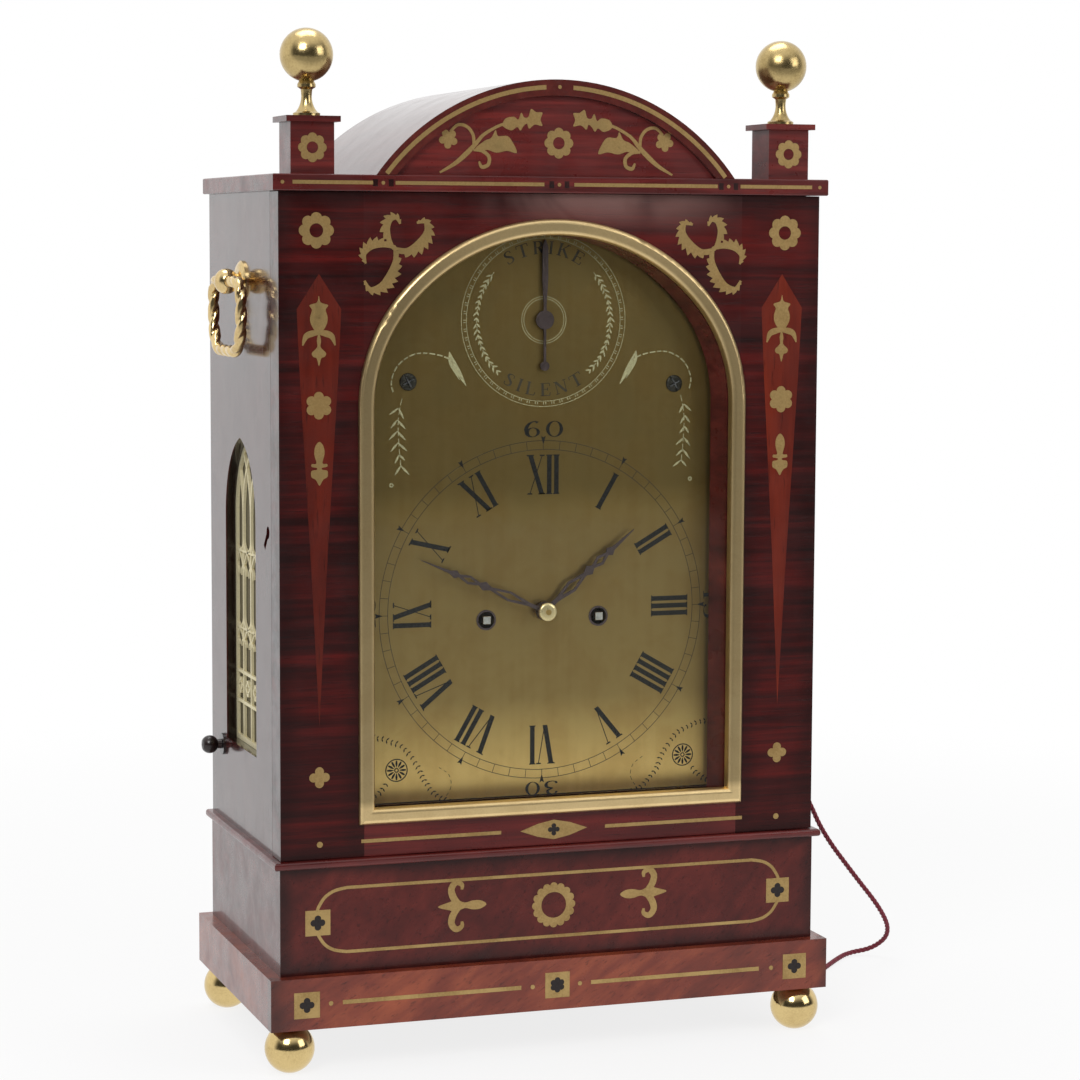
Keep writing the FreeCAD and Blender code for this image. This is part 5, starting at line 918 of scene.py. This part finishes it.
def corner(side):
    """The rosette in a lower corner of the dial, between its two sprays."""
    x, z = side * 81.6, 154.3
    shapes = [[disc(x, z, 6.2, 48), disc(x, z, 5.6, 48)], [disc(x, z, 1.3), disc(x, z, 0.7)]]
    for i in range(12):
        a = math.radians(i * 30)
        tip = (x + 5.2 * math.sin(a), z + 5.2 * math.cos(a))
        foot = (x + 1.6 * math.sin(a), z + 1.6 * math.cos(a))
        middle = ((tip[0] + foot[0]) / 2, (tip[1] + foot[1]) / 2)
        shapes.append(ribbon([(*foot, 0.2), (*middle, 1.15), (*tip, 0.75)], steps=4))
    upper = sided(side, (106.0, 178.5), (98.0, 173.6), (88.0, 171.0), (78.0, 166.2), (70.4, 156.6),
                  (65.6, 146.8), (58.6, 138.8), (52.6, 136.2))
    shapes += leafy(upper, 2.5, 2.0, 0.5, 62)
    lower = sided(side, (86.4, 148.2), (90.6, 143.0), (96.8, 139.4), (104.0, 137.8))
    shapes += leafy(lower, 2.4, 2.0, 0.5, 62)
    hook = sided(side, (58.0, 154.6), (52.4, 150.2), (51.4, 143.4), (55.4, 137.2))
    shapes += dashed(hook, 1.6, 1.0, 0.26)
    return shapes


def shoulder(side):
    """The scroll beside the strike dial, with the leafy spray that hangs from it."""
    scroll = sided(side, (47.6, 366.2), (51.4, 371.4), (60.4, 374.6), (71.4, 374.8), (80.6, 369.2),
                   (84.4, 360.2), (82.6, 352.6))
    shapes = dashed(scroll, 2.2, 0.9, 0.75)
    for leaf in (((43.4, 358.0, 0.4), (48.0, 366.0, 2.6), (52.6, 375.8, 0.3)),
                 ((52.6, 375.8, 0.3), (52.0, 370.0, 1.6), (47.0, 361.0, 0.3))):
        shapes.append(ribbon(sided(side, *leaf)))
    stalk = sided(side, (78.6, 351.6), (80.6, 340.4), (80.2, 326.4), (79.0, 314.0))
    shapes += dashed(stalk, 3.0, 1.2, 0.4)
    drop = sided(side, (80.2, 349.4), (81.2, 338.4), (80.6, 326.4), (79.0, 315.0))
    shapes += leafy(drop, 5.4, 6.4, 0.8, 42)
    shapes.append([disc(side * 84.4, 306.0, radius) for radius in (1.2, 0.5)])
    return shapes


numerals = ("I", "II", "III", "IIII", "V", "VI", "VII", "VIII", "IX", "X", "XI", "XII")
circles, black = minute_ring()
for number, text in enumerate(numerals):
    black += roman(text, number + 1)
for text, middle in (("60", 0), ("15", 90), ("30", 180), ("45", 270)):
    black += text_on_ring(text, 0, CENTRE, 93.2, 8.6 if middle == 0 else 7.4, middle, True, 2.4, 1.7)
circles += text_on_ring("STRIKE", 0, STRIKE, 35.0, 6.8, 0, True, 2.5, 1.2)
circles += text_on_ring("SILENT", 0, STRIKE, 33.6, 6.8, 180, False, 2.5, 1.2)
solid_plates("dial_numerals", black + corner(1) + corner(-1), DIAL - 0.06, 0.2, wax)
solid_plates("dial_circles", circles, DIAL - 0.03, 0.2, faint_wax)
pale = strike_ring() + shoulder(1) + shoulder(-1)
solid_plates("dial_scrolls", pale, DIAL - 0.04, 0.2, worn)


def screw_heads():
    """Crossed screw heads that hold the dial to its feet."""
    verts, faces = [], []
    for x, z in DIAL_SCREWS:
        middle = Vector((x, DIAL - 0.02, z)) * MM
        rings = ((4.6, 0.0), (4.6, 0.5), (4.1, 1.0), (2.2, 1.35), (0.9, 1.4))
        base = len(verts)
        for radius, rise in rings:
            for k in range(40):
                a = 2 * math.pi * k / 40
                near = min(abs(radius * math.sin(a - 0.5)), abs(radius * math.cos(a - 0.5)))
                cut = 0.7 if near < 0.55 and rise > 0.9 else 0.0
                verts.append(middle + Vector((radius * math.cos(a), cut - rise, radius * math.sin(a))) * MM)
        for i in range(len(rings) - 1):
            for k in range(40):
                m = (k + 1) % 40
                row = base + i * 40
                faces.append((row + k, row + m, row + 40 + m, row + 40 + k))
        faces.append(tuple(base + (len(rings) - 1) * 40 + k for k in range(40)))
    return verts, faces


build("dial_screws", *screw_heads(), steel_dark, "steel")
slots = [radial(x, z, -3.0, 3.0, angle, 0.6) for x, z in DIAL_SCREWS for angle in (61, 151)]
solid_plates("screw_slots", slots, DIAL - 1.5, 0.8, steel)


def collet():
    """The domed brass collet in front of the hands."""
    foot = -64.9
    rings = ((4.9, 0.0), (4.9, 1.3), (4.6, 1.7), (3.4, 1.95), (1.7, 2.1), (0.7, 2.15))
    verts = [Vector((radius * math.cos(math.pi * k / 20), foot - rise,
                     CENTRE + radius * math.sin(math.pi * k / 20))) * MM
             for radius, rise in rings for k in range(40)]
    faces = [(i * 40 + k, i * 40 + (k + 1) % 40, i * 40 + 40 + (k + 1) % 40, i * 40 + 40 + k)
             for i in range(len(rings) - 1) for k in range(40)]
    ends = [tuple(range(39, -1, -1)), tuple(range(len(verts) - 40, len(verts)))]
    return verts, faces + ends


build("hand_collet", *collet(), bright_brass, "brass", "minute_arbor")
for body, x in (("going_fusee", WINDING_X), ("striking_fusee", -WINDING_X)):
    cap = block(x - 2.0, WINDING_Z - 2.0, x + 2.0, WINDING_Z + 2.0)
    solid_plates(f"winding_square_{body}", [cap], DIAL - 1.56, 0.05, bright_steel, body)
collets = [[disc(x, WINDING_Z, radius, 48) for radius in (5.5, 4.5)] for x in (-WINDING_X, WINDING_X)]
solid_plates("winding_collets", collets, DIAL - 0.35, 0.6, blued)


def arch_line(steps=24):
    """The glazed opening's three-centred outline up the left side, over the arch and down the right.

    Each entry is a centre, a direction and a radius, so that the line can be drawn in by any inset.
    """
    spring, foot, side, top, across = 347.8, 133.4, 89.3, 113.9, 18.7
    drop = math.sqrt((top - side) ** 2 - across ** 2)
    turn = math.atan2(drop, across)
    right = [(across, spring, turn * i / steps, side) for i in range(steps + 1)]
    crown = [(0, spring - drop, turn + (math.pi / 2 - turn) * i / steps, top) for i in range(1, steps + 1)]
    half = [(across, foot, 0.0, side)] + right + crown
    left = [(-x, z, math.pi - angle, radius) for x, z, angle, radius in half]
    return left[:-1] + half[::-1]


def glazing_bead():
    """The stained bead behind the glass, which slopes inwards towards the dial at the sides."""
    front, rear, seat, lip, foot, slope = -71.9, -60.2, 3.1, 8.5, 8.6, 4.6
    verts, faces = [], []
    line = arch_line()
    for x, z, angle, radius in line:
        deepest = foot + slope * abs(math.cos(angle))
        for inset, y in ((lip, front), (seat, front), (seat, rear), (deepest, rear)):
            reach = radius - inset
            verts.append(Vector((x + reach * math.cos(angle), y, z + reach * math.sin(angle))) * MM)
    for i in range(len(line) - 1):
        for k in range(4):
            m = (k + 1) % 4
            faces.append((i * 4 + k, i * 4 + m, i * 4 + 4 + m, i * 4 + 4 + k))
    faces += [(3, 2, 1, 0), tuple(len(verts) - 4 + k for k in range(4))]
    return verts, faces


build("glazing_bead", *glazing_bead(), bead_wood, "mahogany", "front_door", False)


# ---------------------------------------------------------------- frets, silk, handles and cord


def tube(points, frames, profile, closed=False):
    """Rings of points along a line; profile(i, k) gives the angle and radius of each."""
    verts, faces = [], []
    around = len(profile(0))
    for i, (point, (first, second)) in enumerate(zip(points, frames)):
        for angle, radius in profile(i):
            verts.append(point + (first * math.cos(angle) + second * math.sin(angle)) * radius)
    count = len(points)
    for i in range(count if closed else count - 1):
        j = (i + 1) % count
        for k in range(around):
            m = (k + 1) % around
            faces.append((i * around + k, i * around + m, j * around + m, j * around + k))
    if not closed:
        faces.append(tuple(range(around - 1, -1, -1)))
        faces.append(tuple((count - 1) * around + k for k in range(around)))
    return verts, faces


LANCET_Y, LANCET_HALF, LANCET_SILL, LANCET_SPRING, LANCET_APEX = 8.65, 34.25, 159.5, 284.5, 328.0
LANCET_RISE = LANCET_APEX - LANCET_SPRING
LANCET_RADIUS = (LANCET_RISE ** 2 + LANCET_HALF ** 2) / (2 * LANCET_HALF)


def lancet_half(z, inset=0.0):
    """Half the width of the pointed opening at a height."""
    if z <= LANCET_SPRING:
        return LANCET_HALF - inset
    left = max(0.0, (LANCET_RADIUS - inset) ** 2 - (z - LANCET_SPRING) ** 2)
    return max(0.0, math.sqrt(left) - (LANCET_RADIUS - LANCET_HALF))


def silk_sheet(side):
    """Silk stretched behind a fret, drawn in shallow upright gathers."""
    rows, columns, plane, margin = 96, 72, 142.62, 0.6
    verts, faces = [], []
    area = 0.0
    top = LANCET_APEX - 1.6
    for i in range(rows + 1):
        z = LANCET_SILL + margin + (top - LANCET_SILL - margin) * i / rows
        half = max(lancet_half(z, margin), 0.25)
        if i:
            area += half * 2 * (top - LANCET_SILL - margin) / rows
        for k in range(columns + 1):
            y = LANCET_Y - half + 2 * half * k / columns
            x = plane - 0.10 * math.sin(y * 2.1 + 0.4 * math.sin(z / 17)) - 0.05 * math.sin(z / 9 + y)
            verts.append(Vector((side * x, y, z)) * MM)
    wide = columns + 1
    for i in range(rows):
        for k in range(columns):
            a = i * wide + k
            face = (a, a + 1, a + wide + 1, a + wide)
            faces.append(face if side > 0 else face[::-1])
    item = build(f"silk_{'right' if side > 0 else 'left'}", verts, faces, silk, "silk")
    return item, area * MM * MM


silks = []
for side in (-1, 1):
    sheet, area = silk_sheet(side)
    silks.append(sheet)
for sheet in silks:
    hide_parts("fret_silks")


def side_plates(name, shapes, side, face, thickness, material):
    """Plates standing on a side plane, drawn in Y and Z."""
    item = solid_plates(name, shapes, 0, thickness, material)
    for vertex in item.data.vertices:
        x, y, z = vertex.co
        vertex.co = Vector((side * (face * MM - y), x, z))
    face_outwards(item.data)


def tracery():
    """Cusped heads between the mullions, in the rows over the transoms."""
    shapes = []
    light = LANCET_HALF / 2
    for base, rise in ((212.0, 9.0), (251.0, 12.0)):
        for i in range(4):
            left = LANCET_Y - LANCET_HALF + i * light
            right, middle = left + light, left + light / 2
            for edge, sign in ((left, 1), (right, -1)):
                arch = [(edge + sign * 0.2, base, 1.2), (edge + sign * 1.2, base + rise * 0.45, 1.3),
                        (edge + sign * 4.4, base + rise * 0.8, 1.3), (middle, base + rise * 1.15, 1.2)]
                shapes.append(ribbon(arch))
                cusp = [(edge + sign * 1.2, base + rise * 0.5, 1.2),
                        (edge + sign * 4.3, base + rise * 0.28, 1.1),
                        (edge + sign * 4.9, base + rise * 0.02, 0.7)]
                shapes.append(ribbon(cusp))
                loop = [(edge + sign * 0.3, base + rise + 9.5, 0.9),
                        (edge + sign * 2.0, base + rise + 4.5, 1.2), (middle, base + rise * 1.1, 1.2)]
                shapes.append(ribbon(loop))
        shapes.append(bar(LANCET_Y - LANCET_HALF + 0.8, base + rise * 1.15, LANCET_Y + LANCET_HALF - 0.8,
                          base + rise * 1.15, 1.2))
    for i in range(4):
        middle = LANCET_Y - LANCET_HALF + (i + 0.5) * light
        shapes.append([petals(middle, 190.0, 4, 2.5, 2.1, 0), petals(middle, 190.0, 4, 1.6, 1.2, 0)])
    return shapes


for side, hand in ((-1, "left"), (1, "right")):
    side_plates(f"tracery_{hand}", tracery(), side, 144.4, 1.4, fret_brass)


HANDLE_X, HANDLE_Y, HANDLE_Z = 158.4, 1.0, 412.0


def rope_handle(side, name):
    """A ring of twisted bar whose top runs plain through the boss."""
    half, drop, top, low, radius = 31.7, 36.8, 9.0, 17.0, 3.2
    path = []

    def run(y0, z0, y1, z1):
        size = math.hypot(y1 - y0, z1 - z0)
        for i in range(max(1, int(size / 0.5))):
            t = i / max(1, int(size / 0.5))
            path.append((y0 + (y1 - y0) * t, z0 + (z1 - z0) * t))

    def turn(y, z, size, start):
        steps = int(size * math.pi / 2 / 0.5)
        for i in range(steps):
            a = math.radians(start - 90 * i / steps)
            path.append((y + size * math.cos(a), z + size * math.sin(a)))

    run(0, 0, half - top, 0)
    turn(half - top, -top, top, 90)
    run(half, -top, half, low - drop)
    turn(half - low, low - drop, low, 0)
    run(half - low, -drop, low - half, -drop)
    turn(low - half, low - drop, low, -90)
    run(-half, low - drop, -half, -top)
    turn(top - half, -top, top, 180)
    run(top - half, 0, 0, 0)
    points = [Vector((side * HANDLE_X, HANDLE_Y + y, HANDLE_Z + z)) * MM for y, z in path]
    count = len(points)
    frames = []
    for i in range(count):
        along = (points[(i + 1) % count] - points[i - 1]).normalized()
        first = Vector((1, 0, 0))
        frames.append((first, along.cross(first)))
    turns, boss, fade, groove_depth = 16, 13, 4, 0.95

    def profile(i):
        y, z = path[i]
        bare = max(0.0, min(1.0, (boss - abs(y)) / fade)) if z > -3 else 0.0
        result = []
        for k in range(30):
            angle = 2 * math.pi * k / 30
            groove = (0.5 - 0.5 * math.cos(2 * (angle - math.pi * turns * i / count))) ** 3
            result.append((angle, (radius - 0.04 - groove_depth * groove * (1 - bare) - 0.1 * bare) * MM))
        return result

    verts, faces = tube(points, frames, profile, True)
    item = build(f"rope_{name}", verts, faces, gilt_brass, "gilt_brass", name)
    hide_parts(name)


rope_handle(-1, "handle_left")
rope_handle(1, "handle_right")


def twisted_cord():
    """The pull cord: three strands laid round one line of control points."""
    route = ((151.5, 50, 155), (169, 50, 155), (187, 50.2, 137), (206, 50.6, 103), (216, 51, 82),
             (236, 50.4, 56), (254.5, 48.6, 33), (264.5, 57, 16), (259, 69, 4.5), (244, 73, 1.8),
             (230, 60, 1.7), (207, 34, 1.6), (190, 24, 1.7), (174, 34, 2.4), (172, 54, 4.5))
    curve = bpy.data.curves.new("cord_line", "CURVE")
    curve.dimensions = "3D"
    line = curve.splines.new("NURBS")
    line.points.add(len(route) - 1)
    for point, place in zip(line.points, route):
        point.co = (place[0] * MM, place[1] * MM, place[2] * MM, 1)
    line.order_u = 3
    line.use_endpoint_u = True
    line.resolution_u = 40
    holder = bpy.data.objects.new("cord_line", curve)
    mesh = bpy.data.meshes.new_from_object(holder)
    path = [vertex.co.copy() for vertex in mesh.vertices]
    bpy.data.objects.remove(holder)
    bpy.data.curves.remove(curve)
    bpy.data.meshes.remove(mesh)
    spaced, carry, step = [path[0]], 0.0, 0.0006
    for a, b in zip(path, path[1:]):
        size = (b - a).length
        reach = step - carry
        while reach <= size and size > 0:
            spaced.append(a.lerp(b, reach / size))
            reach += step
        carry = size - (reach - step)
    if (path[-1] - spaced[-1]).length > step / 4:
        spaced.append(path[-1])
    frames = []
    first = Vector((0, 1, 0))
    for i in range(len(spaced)):
        along = (spaced[min(i + 1, len(spaced) - 1)] - spaced[max(i - 1, 0)]).normalized()
        first = (first - along * first.dot(along)).normalized()
        frames.append((first.copy(), along.cross(first)))
    twist, offset, thick = 0.0085, 0.0006, 0.0009
    verts, faces = [], []
    for strand in range(3):
        centres = []
        for i, (point, (one, two)) in enumerate(zip(spaced, frames)):
            angle = 2 * math.pi * (i * step / twist + strand / 3)
            centres.append(point + (one * math.cos(angle) + two * math.sin(angle)) * offset)

        def profile(i):
            return [(2 * math.pi * k / 10, thick) for k in range(10)]

        more, skins = tube(centres, frames, profile)
        faces += [tuple(v + len(verts) for v in face) for face in skins]
        verts += more
    item = build("crimson_cord", verts, faces, cord_silk, "cord")
    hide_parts("repeat_cord")


twisted_cord()
